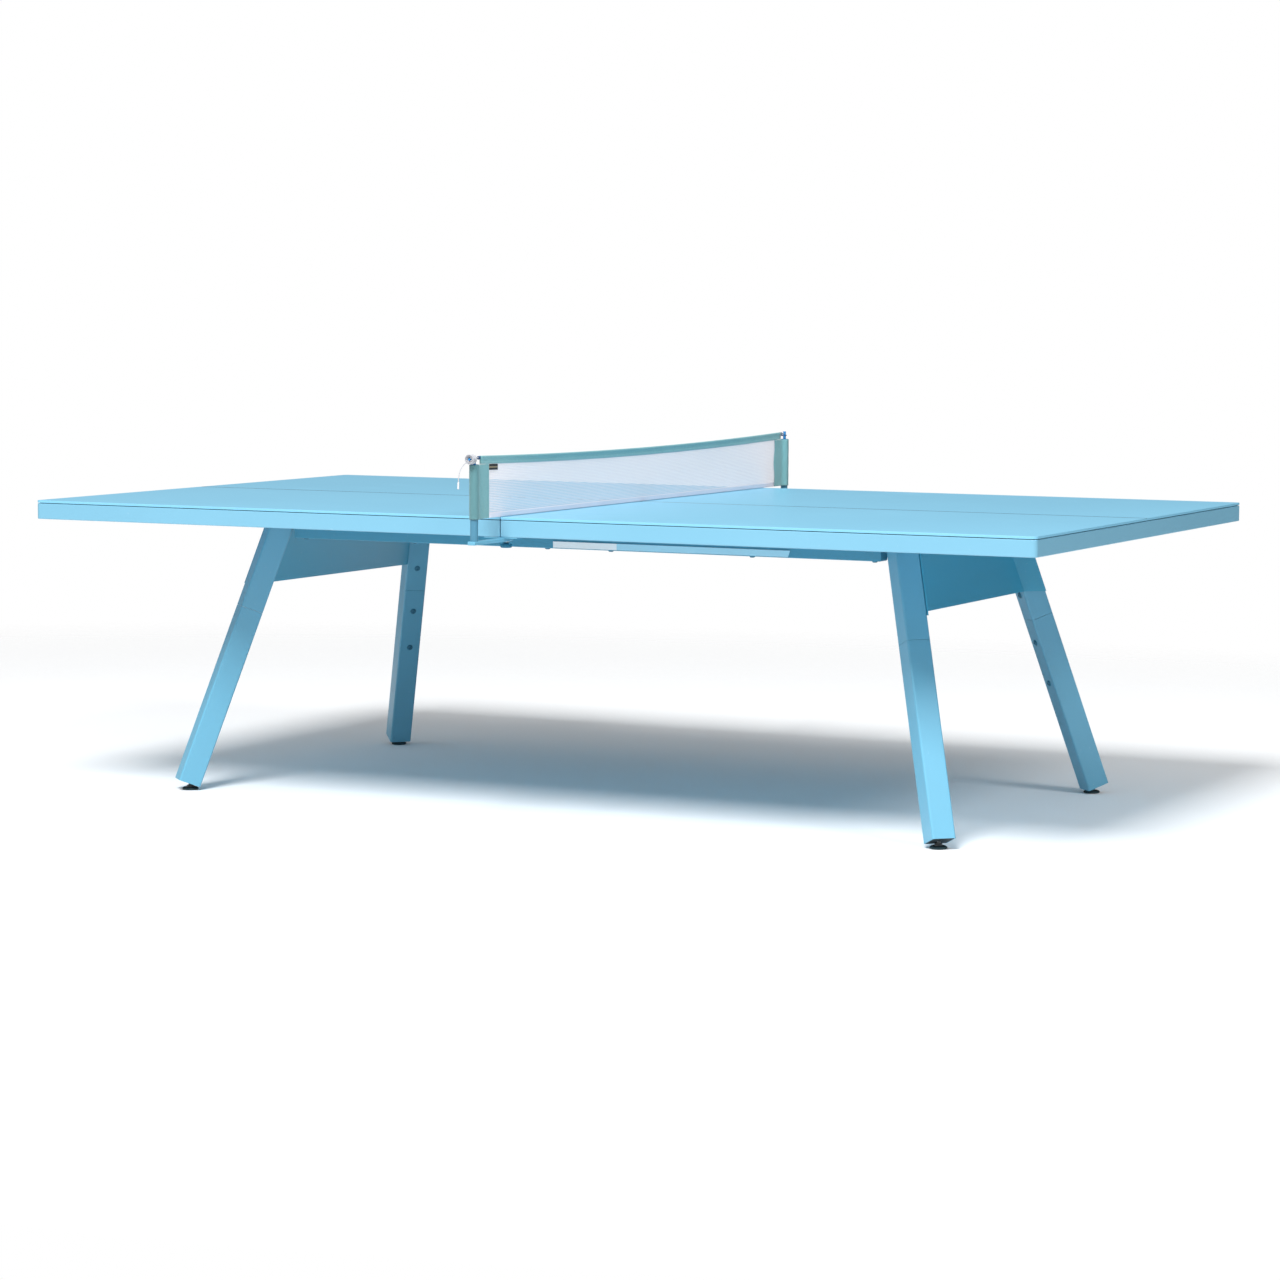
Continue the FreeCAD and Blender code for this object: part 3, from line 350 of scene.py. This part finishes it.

# ---------------------------------------------------------------- legs and end panels
# Square steel tubes, powder coated in one satin blue, splay to the four corners. A folded
# sheet is welded between the two upper legs of each end; its deeper blue is painted shade.


def powder_coat(name, shade, lighter):
    """Satin powder coat: even colour, a fine orange peel and faint dust."""
    coat = Paint(name, Coat_Weight=0.12)
    coat.shader.inputs["Coat Roughness"].default_value = 0.25
    cloud = coat.noise(2.2, 3.0)
    peel = coat.noise(620.0, 2.0)
    fleck = coat.noise(90.0, 5.0, roughness=0.7)
    speck = (fleck * 9.0 - 5.9).clamp() * 0.25
    return coat.finish(
        Base_Color=coat.mix(speck, coat.mix(cloud, shade, lighter), rgb(222, 232, 238)),
        Roughness=0.34 + cloud * 0.10 + speck * 0.4,
        Normal=coat.bump(peel, 0.00012, 0.35),
    )


frame_paint = powder_coat("frame_paint", (0.125, 0.385, 0.540), (0.145, 0.410, 0.570))
# The end panels get the legs' blue made darker: painted shade for the shade under the top.
shaded_panel_paint = powder_coat("shaded_panel_paint", (0.050, 0.325, 0.480), (0.060, 0.350, 0.505))
for leg in LEGS:
    wear(f"upper_leg_{leg}", frame_paint)
    wear(f"lower_leg_{leg}", frame_paint)
for end in ("left", "right"):
    wear(f"end_panel_{end}", shaded_panel_paint)
wear("leg_joiners", bright_zinc)

# ---------------------------------------------------------------- leg bolts
# Three domed bolts with a hexagon socket, painted blue, hold each leg to its inner
# joiner. The same bolts hold the beams. Their blue is made deeper as painted shade.

LEG_LEAN = 0.2635
LEG_FLOOR = (1.063012, 0.545012)
BOLT_HEIGHTS = (0.303, 0.410, 0.535)
LEG_HALF = 0.030


def leg_frame(side_x, side_y):
    """The leg's own axes: X outwards, Z up along the leg, from its axis at the floor."""
    up = Vector((-side_x * LEG_LEAN, -side_y * LEG_LEAN, 1.0)).normalized()
    level = Vector((-side_y, side_x, 0.0)).normalized()
    outward = level.cross(up)
    if outward.dot(Vector((side_x, side_y, 0.0))) < 0:
        outward = -outward
        level = -level
    turn = Matrix((outward, level, up)).transposed().to_4x4()
    return Matrix.Translation((side_x * LEG_FLOOR[0], side_y * LEG_FLOOR[1], 0.0)) @ turn


def lathe(mesh, profile, steps=32):
    """Spins a short outline of (radius, height) corners once round Z."""
    corners = [mesh.verts.new((radius, 0.0, height)) for radius, height in profile]
    edges = [mesh.edges.new(pair) for pair in zip(corners, corners[1:])]
    bmesh.ops.spin(
        mesh,
        geom=corners + edges,
        axis=(0, 0, 1),
        cent=(0, 0, 0),
        steps=steps,
        angle=2 * math.pi,
        use_merge=True,
    )
    bmesh.ops.remove_doubles(mesh, verts=mesh.verts[:], dist=1e-6)


def made(name, mesh, material, body, slot, *stands_for):
    """Closes off a finished mesh as a piece that rides on a body."""
    bmesh.ops.recalc_face_normals(mesh, faces=mesh.faces[:])
    for edge in mesh.edges:
        if len(edge.link_faces) == 2 and edge.calc_face_angle() > math.radians(35):
            edge.smooth = False
    for face in mesh.faces:
        face.smooth = True
    data = bpy.data.meshes.new(name)
    mesh.to_mesh(data)
    mesh.free()
    data.materials.append(material)
    piece = bpy.data.objects.new(name, data)
    scene.collection.objects.link(piece)
    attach(piece, body)
    if stands_for:
        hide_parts(*stands_for)
    return piece


def copies(single, places):
    """One mesh that holds a copy of single at each place; single is used up."""
    pattern = bpy.data.meshes.new("pattern")
    single.to_mesh(pattern)
    single.free()
    mesh = bmesh.new()
    for place in places:
        first = len(mesh.verts)
        mesh.from_mesh(pattern)
        mesh.verts.ensure_lookup_table()
        bmesh.ops.transform(mesh, matrix=place, verts=mesh.verts[first:])
    bpy.data.meshes.remove(pattern)
    return mesh


def socket_bolt():
    """A domed head, 14 mm across, on a washer, with a hexagon socket."""
    mesh = bmesh.new()
    socket = 0.0030
    lathe(
        mesh,
        [
            (0.0, 0.0012),
            (socket, 0.0012),
            (socket, 0.0042),
            (0.0042, 0.0041),
            (0.0058, 0.0033),
            (0.0068, 0.0020),
            (0.0070, 0.0010),
            (0.0082, 0.0010),
            (0.0082, -0.0004),
            (0.0030, -0.0004),
            (0.0, -0.0004),
        ],
        36,
    )
    for vertex in mesh.verts:
        reach = vertex.co.xy.length
        if abs(reach - socket) < 1e-5 and vertex.co.z > 0:
            angle = math.atan2(vertex.co.y, vertex.co.x) % math.radians(60)
            factor = 0.88 / math.cos(angle - math.radians(30))
            vertex.co.x *= factor
            vertex.co.y *= factor
    return mesh


leg_bolt_places = []
for side_x, side_y in LEGS.values():
    for height in BOLT_HEIGHTS:
        along = height * math.sqrt(1 + 2 * LEG_LEAN**2)
        leg_bolt_places.append(
            leg_frame(side_x, side_y)
            @ Matrix.Translation((-LEG_HALF, 0.0, along))
            @ Matrix.Rotation(math.radians(-90), 4, "Y")
        )
# The bolt heads' blue is darkened: painted shade.
shaded_bolt_paint = powder_coat("shaded_bolt_paint", (0.012, 0.110, 0.180), (0.040, 0.210, 0.320))
made("leg_bolt_heads", copies(socket_bolt(), leg_bolt_places), shaded_bolt_paint, "table",
     "bright_zinc", "leg_bolts")

bolt_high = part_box("beam_bolts")[1]
BEAM_AXIS = 0.353
BOLT_HEAD_HALF = 0.007
beam_bolt_columns = (0.09, 0.48, bolt_high.x - BOLT_HEAD_HALF)
beam_bolt_places = [
    Matrix.Translation((side * x, y, bolt_high.z)) @ Matrix.Rotation(math.pi, 4, "X")
    for y in (-BEAM_AXIS, BEAM_AXIS)
    for side in (-1, 1)
    for x in beam_bolt_columns
]
made("beam_bolt_heads", copies(socket_bolt(), beam_bolt_places), shaded_bolt_paint, "table",
     "bright_zinc", "beam_bolts")

# ---------------------------------------------------------------- frame under the top
# Cross tubes between the side rails carry the boards, and two long beams bolted under
# them join the leg frames. The caps in the beams' ends are of nearly the same blue.

# Beams, bearers and battens get the legs' blue made darker: painted shade for the shade under the
# top.
shaded_beam_paint = powder_coat("shaded_beam_paint", (0.045, 0.265, 0.405), (0.055, 0.290, 0.430))
for half in ("left", "right"):
    wear(f"bearer_{half}", shaded_beam_paint)
    wear(f"battens_{half}", shaded_beam_paint)
for side in ("near", "far"):
    wear(f"beam_{side}", shaded_beam_paint)

cap_plastic = powder_coat("cap_plastic", (0.045, 0.260, 0.400), (0.055, 0.285, 0.425))
wear("beam_caps", cap_plastic)

# A blank plate of printed plastic lies along the near beam, pale at its left end and
# light blue for the rest.

plate = Paint("plate_print", Roughness=0.4, Coat_Weight=0.3)
plate_x, _, plate_z = plate.axes()
PLATE_RIM = 0.0012
PLATE_PALE_END = 0.117
plate_low, plate_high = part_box("name_plate")
plate_rim = (
    plate_z.over(plate_high.z - PLATE_RIM)
    + plate_z.under(plate_low.z + PLATE_RIM)
    + plate_x.under(plate_low.x + PLATE_RIM)
).clamp()
plate_film = plate.noise(40.0, 3.0)
plate_field = plate.mix(plate_x.over(PLATE_PALE_END), rgb(240, 247, 250), rgb(168, 222, 242))
wear(
    "name_plate",
    plate.finish(
        Base_Color=plate.mix(plate_rim, plate_field, rgb(88, 150, 176)),
        Roughness=0.30 + plate_film * 0.16,
        Normal=plate.bump(plate_film, 0.00005, 0.3),
    ),
)

# ---------------------------------------------------------------- apron and boards
# Mitred tubes make a rim under each half. The playing boards are solid laminate, bonded
# on tape whose dark colour is painted shade for the thin line under them; a dark line runs down
# the middle of the top.

apron_paint = powder_coat("apron_paint", (0.180, 0.435, 0.590), (0.195, 0.457, 0.616))
for half in ("left", "right"):
    for place in ("near", "far", "end", "middle"):
        wear(f"rail_{half}_{place}", apron_paint)

tape = Paint("seal_tape", Roughness=0.85)
tape_grain = tape.noise(700.0, 2.0)
# The tape's dark colour stands for the shadow line under the board's edge: painted shade.
wear(
    "board_gaskets",
    tape.finish(
        Base_Color=tape.mix(tape_grain, rgb(18, 52, 66), rgb(32, 72, 88)),
        Normal=tape.bump(tape_grain, 0.0001, 0.4),
    ),
)

LINE_HALF = 0.0045
LINE_GROOVE = 0.0006
TOP_FACE_FROM = 0.7595
laminate = Paint("playing_surface", Coat_Weight=0.15)
laminate.shader.inputs["Coat Roughness"].default_value = 0.3
_, board_y, board_z = laminate.axes()
board_cloud = laminate.noise(1.3, 3.0)
board_grain = laminate.noise(1100.0, 2.0)
scuffs = laminate.noise(14.0, 5.0, stretch=(0.35, 1.0, 1.0), roughness=0.65)
scuff = (scuffs * 6.0 - 3.6).clamp()
from_middle = board_y.math("ABSOLUTE")
centre_line = from_middle.under(LINE_HALF) * board_z.over(TOP_FACE_FROM)
line_edge = from_middle.under(LINE_HALF + LINE_GROOVE)
board_colour = laminate.mix(board_cloud, (0.200, 0.520, 0.720), (0.218, 0.544, 0.745))
board_colour = laminate.mix(scuff * 0.04, board_colour, rgb(214, 230, 240))
playing_surface = laminate.finish(
    Base_Color=laminate.mix(centre_line, board_colour, rgb(10, 50, 72)),
    Roughness=0.36 + board_cloud * 0.06 + scuff * 0.12,
    Normal=laminate.bump(board_grain - line_edge * 1.5, 0.00010, 0.35),
)
for half in ("left", "right"):
    wear(f"board_{half}", playing_surface)

# ---------------------------------------------------------------- net posts and clamps
# Each post stands on a flat arm that is clamped up under the top by a screw with a
# moulded knob. The arms have the legs' finish; the posts have it made deeper as painted
# shade. The knobs are teal plastic.

# The posts' paint is the legs' blue made darker: painted shade.
post_paint = powder_coat("post_paint", (0.062, 0.215, 0.325), (0.074, 0.240, 0.352))
knob_plastic_paint = Paint("knob_plastic", Coat_Weight=0.1)
knob_grain = knob_plastic_paint.noise(1500.0, 2.0)
knob_plastic = knob_plastic_paint.finish(
    Base_Color=knob_plastic_paint.mix(knob_grain, rgb(2, 100, 132), rgb(6, 120, 154)),
    Roughness=0.36 + knob_grain * 0.2,
    Normal=knob_plastic_paint.bump(knob_grain, 0.00012, 0.5),
)
KNOB_LOBES = 10
GRIP_TALL = 0.010
HUB_RADIUS = 0.0066
HUB_TALL = 0.0040
SCREW_RADIUS = 0.0040
ARM_CAP_THICK = 0.0025


def knob_mesh(low, high, across):
    """A knob with shallow finger scallops, dished underneath."""
    mesh = bmesh.new()
    rim = across / 2
    lathe(
        mesh,
        [
            (0.0, low + 0.0022),
            (rim - 0.0085, low + 0.0020),
            (rim - 0.0060, low + 0.0004),
            (rim - 0.0040, low),
            (rim - 0.0016, low + 0.0005),
            (rim - 0.0003, low + 0.0020),
            (rim, high - 0.0030),
            (rim - 0.0006, high - 0.0012),
            (rim - 0.0024, high - 0.0002),
            (rim - 0.0060, high),
            (HUB_RADIUS, high),
            (HUB_RADIUS - 0.0001, high + HUB_TALL - 0.0004),
            (HUB_RADIUS - 0.0005, high + HUB_TALL),
            (0.0, high + HUB_TALL),
        ],
        80,
    )
    for vertex in mesh.verts:
        reach = vertex.co.xy.length
        if reach > rim - 0.003:
            angle = math.atan2(vertex.co.y, vertex.co.x)
            dip = 0.5 + 0.5 * math.cos(KNOB_LOBES * angle)
            factor = 1 - 0.085 * dip**2
            vertex.co.x *= factor
            vertex.co.y *= factor
    return mesh


for side in ("near", "far"):
    wear(f"net_post_{side}", post_paint)
    wear(f"net_arm_{side}", frame_paint)
    wear(f"clamp_washer_{side}", bright_zinc)
    knob_low, knob_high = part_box(f"clamp_knob_{side}")
    middle = (knob_low + knob_high) / 2
    grip_high = knob_low.z + GRIP_TALL
    grip = knob_mesh(knob_low.z, grip_high, knob_high.x - knob_low.x)
    bmesh.ops.translate(grip, vec=(middle.x, middle.y, 0.0), verts=grip.verts[:])
    made(f"knob_grip_{side}", grip, knob_plastic, f"knob_{side}", "knob_plastic",
         f"clamp_knob_{side}")
    hub_high = grip_high + HUB_TALL
    screw = bmesh.new()
    lathe(
        screw,
        [
            (0.0, hub_high - 0.001),
            (SCREW_RADIUS, hub_high - 0.001),
            (SCREW_RADIUS, knob_high.z - 0.0008),
            (SCREW_RADIUS - 0.0008, knob_high.z),
            (0.0, knob_high.z),
        ],
        28,
    )
    bmesh.ops.translate(screw, vec=(middle.x, middle.y, 0.0), verts=screw.verts[:])
    made(f"knob_screw_{side}", screw, threaded_zinc, f"knob_{side}", "bright_zinc")
    arm_low, arm_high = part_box(f"net_arm_{side}")
    arm_middle = (arm_low + arm_high) / 2
    outer_y = arm_low.y if side == "near" else arm_high.y
    cap = bmesh.new()
    bmesh.ops.create_cube(cap, size=1.0)
    bmesh.ops.scale(
        cap,
        vec=(arm_high.x - arm_low.x, ARM_CAP_THICK, arm_high.z - arm_low.z),
        verts=cap.verts[:],
    )
    bmesh.ops.bevel(
        cap,
        geom=cap.edges[:],
        offset=0.0008,
        affect="EDGES",
        segments=2,
        profile=0.5,
        material=-1,
    )
    outwards = -1 if side == "near" else 1
    cap_y = outer_y + outwards * (ARM_CAP_THICK / 2 + 0.00001)
    bmesh.ops.translate(cap, vec=(arm_middle.x, cap_y, arm_middle.z), verts=cap.verts[:])
    made(f"arm_cap_{side}", cap, frame_paint, "table", "post_paint")
wear("clamp_plates", frame_paint)

rod_paint = Paint("rod_plastic", Roughness=0.25, Coat_Weight=0.3)
rod_grain = rod_paint.noise(500.0, 2.0)
rod_plastic = rod_paint.finish(
    Base_Color=rod_paint.mix(rod_grain, rgb(22, 124, 190), rgb(34, 142, 208)),
    Normal=rod_paint.bump(rod_grain, 0.00005, 0.3),
)
wear("post_rods", rod_plastic)

# ---------------------------------------------------------------- net cloth
# The net is a fine knotless mesh, sewn between a folded teal tape along its top, a pale
# tape along its foot and a teal cloth sleeve at each end that slips over the post.

NET_TOP = 0.9125
WEAVE_PITCH = 0.0009
TAPE_THICK = 0.0006
THIN_CLOTH = 0.0005
NET_SAG = 0.012
POST_OUT = 0.890
SAG_RADIUS = (POST_OUT**2 + NET_SAG**2) / (2 * NET_SAG)


def top_edge(across):
    """Height of the net's sagging top edge."""
    return NET_TOP - NET_SAG + SAG_RADIUS - math.sqrt(SAG_RADIUS**2 - across**2)


def cut_cloth(width, height, columns, rows):
    """A flat cloth from (0, 0) to (width, height) whose UV map holds its own metres."""
    mesh = bmesh.new()
    bmesh.ops.create_grid(mesh, x_segments=columns, y_segments=rows, size=0.5)
    bmesh.ops.translate(mesh, vec=(0.5, 0.5, 0.0), verts=mesh.verts[:])
    bmesh.ops.scale(mesh, vec=(width, height, 1.0), verts=mesh.verts[:])
    cut = mesh.loops.layers.uv.new("cut")
    for face in mesh.faces:
        for corner in face.loops:
            corner[cut].uv = corner.vert.co.xy
    return mesh


def hang(mesh, lie):
    """Moves each point of a flat cloth to where it hangs."""
    for vertex in mesh.verts:
        vertex.co = lie(vertex.co.x, vertex.co.y)
    return mesh


def thicken(piece, thickness, smooth=0):
    """Gives a cloth its thickness, and smooths it."""
    if smooth:
        soft = piece.modifiers.new("smooth", "SUBSURF")
        soft.levels = smooth
        soft.render_levels = smooth
    wall = piece.modifiers.new("cloth", "SOLIDIFY")
    wall.thickness = thickness
    wall.offset = 0.0


def woven(name, dark, light, pitch, stitch_rows, stitch_colour, shade_round_post_at=None):
    """Coated cloth: a plain weave on the cut's own metres, with rows of stitches.

    Where it wraps round a post, near the place given last, its colour is darkened as painted
    shade.
    """
    cloth = Paint(name, Roughness=0.72, Sheen_Weight=0.25)
    along, across, _ = cloth.axes(cloth.node("ShaderNodeUVMap", {"uv_map": "cut"}))
    turns = 2 * math.pi / pitch
    weave = (along * turns).sine() * (across * turns).sine()
    cloud = cloth.noise(9.0, 3.0)
    row = None
    for place in stitch_rows:
        near = (across - place).math("ABSOLUTE").under(0.0006)
        row = near if row is None else (row + near).clamp()
    stitch = row * (along * (2 * math.pi / 0.0045)).sine().over(-0.45)
    # Half of the tone follows the weave: its dips are painted darker, as painted shade. The other
    # half varies at random.
    tone = ((weave * 0.5 + 0.5) * 0.5 + cloud * 0.5).clamp()
    colour = cloth.mix(stitch, cloth.mix(tone, dark, light), stitch_colour)
    if shade_round_post_at is not None:
        # Round the post the colour is darkened for the shade on the sleeve's rounded side:
        # painted shade.
        painted_post_shade = (2.6 - (along - shade_round_post_at).math("ABSOLUTE") * 100.0).clamp()
        colour = cloth.mix(painted_post_shade * 0.62, colour, rgb(52, 96, 104))
    return cloth.finish(
        Base_Color=colour,
        Roughness=0.62 + cloud * 0.2,
        Normal=cloth.bump(weave * 0.3 + stitch * 1.6 - row * 1.2, 0.0003, 0.7),
    )


MESH_PITCH = 0.004
yarn = Paint("net_mesh_yarn", Roughness=0.8, Sheen_Weight=0.15)
yarn_u, yarn_v, _ = yarn.axes(yarn.node("ShaderNodeUVMap", {"uv_map": "cut"}))
yarn_across = (yarn_u * (2 * math.pi / MESH_PITCH)).sine()
yarn_up = (yarn_v * (2 * math.pi / MESH_PITCH)).sine()
yarn_here = (yarn_across.over(0.05) + yarn_up.over(0.05)).clamp()
knots = yarn_across.over(0.45) * yarn_up.over(0.45)
net_yarn = yarn.finish(
    Base_Color=yarn.mix(knots, rgb(240, 236, 244), rgb(248, 244, 250)),
    Alpha=yarn_here,
    Normal=yarn.bump(yarn_across.math("MAXIMUM", yarn_up), 0.0004, 0.6),
)

MESH_HALF = 0.8237
MESH_LOW = 0.7685
MESH_TUCK = 0.0160
mesh_tall = top_edge(MESH_HALF) - MESH_TUCK - MESH_LOW


def mesh_lies(along, up):
    across = along - MESH_HALF
    share = up / mesh_tall
    high = top_edge(across) - MESH_TUCK
    belly = 0.0008 * math.sin(along * 9.0) * math.sin(math.pi * share)
    return (belly, across, MESH_LOW + share * (high - MESH_LOW))


net_cloth = made(
    "net_cloth",
    hang(cut_cloth(2 * MESH_HALF, mesh_tall, 120, 10), mesh_lies),
    net_yarn,
    "table",
    "net_mesh_yarn",
    "net_mesh",
)

teal_dark = rgb(106, 164, 170)
teal_light = rgb(132, 188, 192)
BAND_WIDE = 0.0410
BAND_HALF = 0.862
FOLD_RADIUS = 0.0022
band_cloth = woven(
    "net_tape_band", teal_dark, teal_light, WEAVE_PITCH,
    (0.0022, BAND_WIDE - 0.0022, 0.0052, BAND_WIDE - 0.0052), rgb(150, 200, 204),
)


def folded(distance, close):
    """Sideways and downward place of tape at a distance from its fold."""
    bend = FOLD_RADIUS * math.pi / 2
    reach = abs(distance)
    if reach < bend:
        turn = reach / FOLD_RADIUS
        out = FOLD_RADIUS * math.sin(turn)
        down = FOLD_RADIUS * (1 - math.cos(turn))
    else:
        ease = min(1.0, (reach - bend) / 0.008)
        ease = ease * ease * (3 - 2 * ease)
        out = FOLD_RADIUS + (close - FOLD_RADIUS) * ease
        down = FOLD_RADIUS + reach - bend
    return math.copysign(out, distance), down


def band_lies(along, across):
    place = along - BAND_HALF
    out, down = folded(across - BAND_WIDE / 2, 0.0009)
    ripple = 0.0003 * math.sin(along * 31.0) * down / 0.02
    return (out + ripple, place, top_edge(place) - 0.0003 - down)


net_top_tape = made(
    "net_top_tape",
    hang(cut_cloth(2 * BAND_HALF, BAND_WIDE, 140, 28), band_lies),
    band_cloth,
    "table",
    "net_tape",
    "net_band",
)
thicken(net_top_tape, TAPE_THICK)

HEM_WIDE = 0.0230
HEM_HALF = 0.8197
HEM_FOLD_RADIUS = 0.0009
hem_cloth = woven(
    "hem_tape", rgb(214, 218, 236), rgb(232, 235, 246), WEAVE_PITCH,
    (0.0020, HEM_WIDE - 0.0020), rgb(228, 230, 240),
)
hem_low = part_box("net_hem")[0]


def hem_lies(along, across):
    bend = HEM_FOLD_RADIUS
    distance = across - HEM_WIDE / 2
    reach = abs(distance)
    out = bend * math.sin(min(reach / bend, math.pi / 2))
    rise = max(0.0, reach - bend * 0.57)
    wave = 0.0002 * math.sin(along * 23.0) * rise / 0.01
    return (math.copysign(out, distance) + wave, along - HEM_HALF, hem_low.z + 0.0004 + rise)


net_foot_tape = made(
    "net_foot_tape",
    hang(cut_cloth(2 * HEM_HALF, HEM_WIDE, 140, 18), hem_lies),
    hem_cloth,
    "table",
    "hem_tape",
    "net_hem",
)
thicken(net_foot_tape, THIN_CLOTH)

# Half of a sleeve's level outline: (sideways, inwards from the post's axis).
SLEEVE_HALF = [
    (0.0010, 0.0700),
    (0.0011, 0.0480),
    (0.0012, 0.0300),
    (0.0014, 0.0230),
    (0.0026, 0.0188),
    (0.0052, 0.0150),
    (0.0084, 0.0105),
    (0.0106, 0.0055),
    (0.0115, 0.0000),
    (0.0108, -0.0042),
    (0.0088, -0.0076),
    (0.0058, -0.0101),
    (0.0020, -0.0115),
]
sleeve_line = [Vector(place) for place in SLEEVE_HALF]
sleeve_line += [Vector((-x, y)) for x, y in reversed(SLEEVE_HALF)]
sleeve_runs = [(b - a).length for a, b in zip(sleeve_line, sleeve_line[1:])]
sleeve_round = sum(sleeve_runs)
SLEEVE_LOW = 0.761
SLEEVE_TALL = 0.130


def on_sleeve(distance):
    """The place on the sleeve's outline at a distance from its front edge."""
    for start, end, run in zip(sleeve_line, sleeve_line[1:], sleeve_runs):
        if distance <= run:
            return start.lerp(end, distance / run)
        distance -= run
    return sleeve_line[-1]


sleeve_rows = (0.002, SLEEVE_TALL - 0.002)
sleeve_cloth = {
    side: woven(f"net_tape_{side}", teal_dark, teal_light, WEAVE_PITCH, sleeve_rows,
                rgb(136, 186, 190), sleeve_round / 2)
    for side in ("near", "far")
}
sleeves = {}
for side, outwards in (("near", -1), ("far", 1)):

    def sleeve_lies(along, up, outwards=outwards):
        spot = on_sleeve(along)
        loose = min(1.0, max(0.0, (spot.y - 0.02) / 0.05))
        wave = 0.0
        if outwards > 0:
            wave = 0.003 * math.sin(up * 70.0) * loose
        crumple = 0.0005 * math.sin(up * 85.0 + spot.y * 160.0)
        return (
            spot.x + math.copysign(crumple, spot.x) * (1 - loose * 0.6),
            outwards * (POST_OUT - spot.y + wave),
            SLEEVE_LOW + up,
        )

    sleeves[side] = made(
        f"net_sleeve_cloth_{side}",
        hang(cut_cloth(sleeve_round, SLEEVE_TALL, 72, 26), sleeve_lies),
        sleeve_cloth[side],
        "table",
        "net_tape",
        f"net_sleeve_{side}",
    )
    thicken(sleeves[side], TAPE_THICK, smooth=1)

# A small woven label, with one plain stripe and no lettering, is sewn to the mesh just
# under the top tape.

label_paint = Paint("label_cloth", Roughness=0.7, Sheen_Weight=0.1)
label_u, label_v, _ = label_paint.axes(label_paint.node("ShaderNodeUVMap", {"uv_map": "cut"}))
LABEL_WIDE = 0.042
LABEL_TALL = 0.014
LABEL_START = -0.820
LABEL_DROP = 0.0205
label_stripe = (label_v - LABEL_TALL / 2).math("ABSOLUTE").under(0.0016)
label_weave = (label_u * 9000.0).sine() * (label_v * 9000.0).sine()
label_cloth = label_paint.finish(
    Base_Color=label_paint.mix(label_stripe, rgb(6, 7, 8), rgb(150, 136, 108)),
    Roughness=0.66 + label_weave * 0.08,
    Normal=label_paint.bump(label_weave, 0.0002, 0.6),
)


def label_lies(along, up):
    across = LABEL_START + along
    return (0.0018, across, top_edge(across) - LABEL_DROP - LABEL_TALL + up)


net_label = made(
    "net_label",
    hang(cut_cloth(LABEL_WIDE, LABEL_TALL, 12, 4), label_lies),
    label_cloth,
    "table",
    "net_tape",
)
thicken(net_label, THIN_CLOTH)

# ---------------------------------------------------------------- net cord
# A white cord runs inside the top tape from rod to rod. Its spare length is wound on
# the peg at the near post, and stands here as separate closed rings, one to a turn.
# Blue eyelets and a link sit at the tape's ends.

wear("net_cord", white_cord)

hank_low, hank_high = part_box("cord_hank")
hank_middle = (hank_low + hank_high) / 2
hank_reach = (hank_high.z - hank_low.z) / 2
TURN_STEP = 0.00262
OUTER_TURNS = 7
LAYER_SIZES = (1.0, 0.78, 0.56)


def hoop(major, minor, steps):
    """A round ring about Z, of a major radius and a minor one."""
    mesh = bmesh.new()
    profile = [
        (
            major + minor * math.cos(math.radians(45 * step)),
            minor * math.sin(math.radians(45 * step)),
        )
        for step in range(9)
    ]
    lathe(mesh, profile, steps)
    return mesh


ring = hoop(hank_reach - CORD_RADIUS - 0.0004, CORD_RADIUS, 40)
winding_places = []
hank_start = hank_low.y + CORD_RADIUS + 0.0002
for layer, shrink in enumerate(LAYER_SIZES):
    for turn in range(OUTER_TURNS - layer):
        place = hank_start + (turn + layer * 0.5) * TURN_STEP
        lean = math.radians(4.0 * math.sin(turn * 2.1 + layer))
        size = shrink * (1 - 0.03 * math.sin(turn * 3.7 + layer * 2.0) ** 2)
        winding_places.append(
            Matrix.Translation((hank_middle.x, place, hank_middle.z))
            @ Matrix.Rotation(math.radians(90) + lean, 4, "X")
            @ Matrix.Diagonal((size, size, 1.0, 1.0))
        )
made("wound_cord", copies(ring, winding_places), white_cord, "table", "white_cord", "cord_hank")

navy = Paint("eyelet_plastic", Roughness=0.35)
navy_grain = navy.noise(700.0, 2.0)
eyelet_plastic = navy.finish(
    Base_Color=navy.mix(navy_grain, rgb(22, 62, 104), rgb(34, 78, 124)),
    Normal=navy.bump(navy_grain, 0.00006, 0.4),
)

EYELETS_AT = (-0.8660, -0.8700, 0.8680)
EYELET_RADIUS = 0.0030
MOULDED_THICK = 0.0013
LINK_RADIUS = 0.0056
LINK_STRETCH = 0.0090
LINK_DROP = 0.0050
cord_height = top_edge(0.866) - 0.0049
eyelet_places = [
    Matrix.Translation((0.0, across, cord_height)) @ Matrix.Rotation(math.radians(90), 4, "X")
    for across in EYELETS_AT
]
made("cord_eyelets", copies(hoop(EYELET_RADIUS, MOULDED_THICK, 28), eyelet_places),
     eyelet_plastic, "table", "rod_plastic")

link = hoop(LINK_RADIUS, MOULDED_THICK, 28)
for vertex in link.verts:
    if vertex.co.y < 0:
        vertex.co.y -= LINK_STRETCH
bmesh.ops.translate(link, vec=(0.0, POST_OUT, cord_height - LINK_DROP), verts=link.verts[:])
made("post_link", link, eyelet_plastic, "table", "rod_plastic")
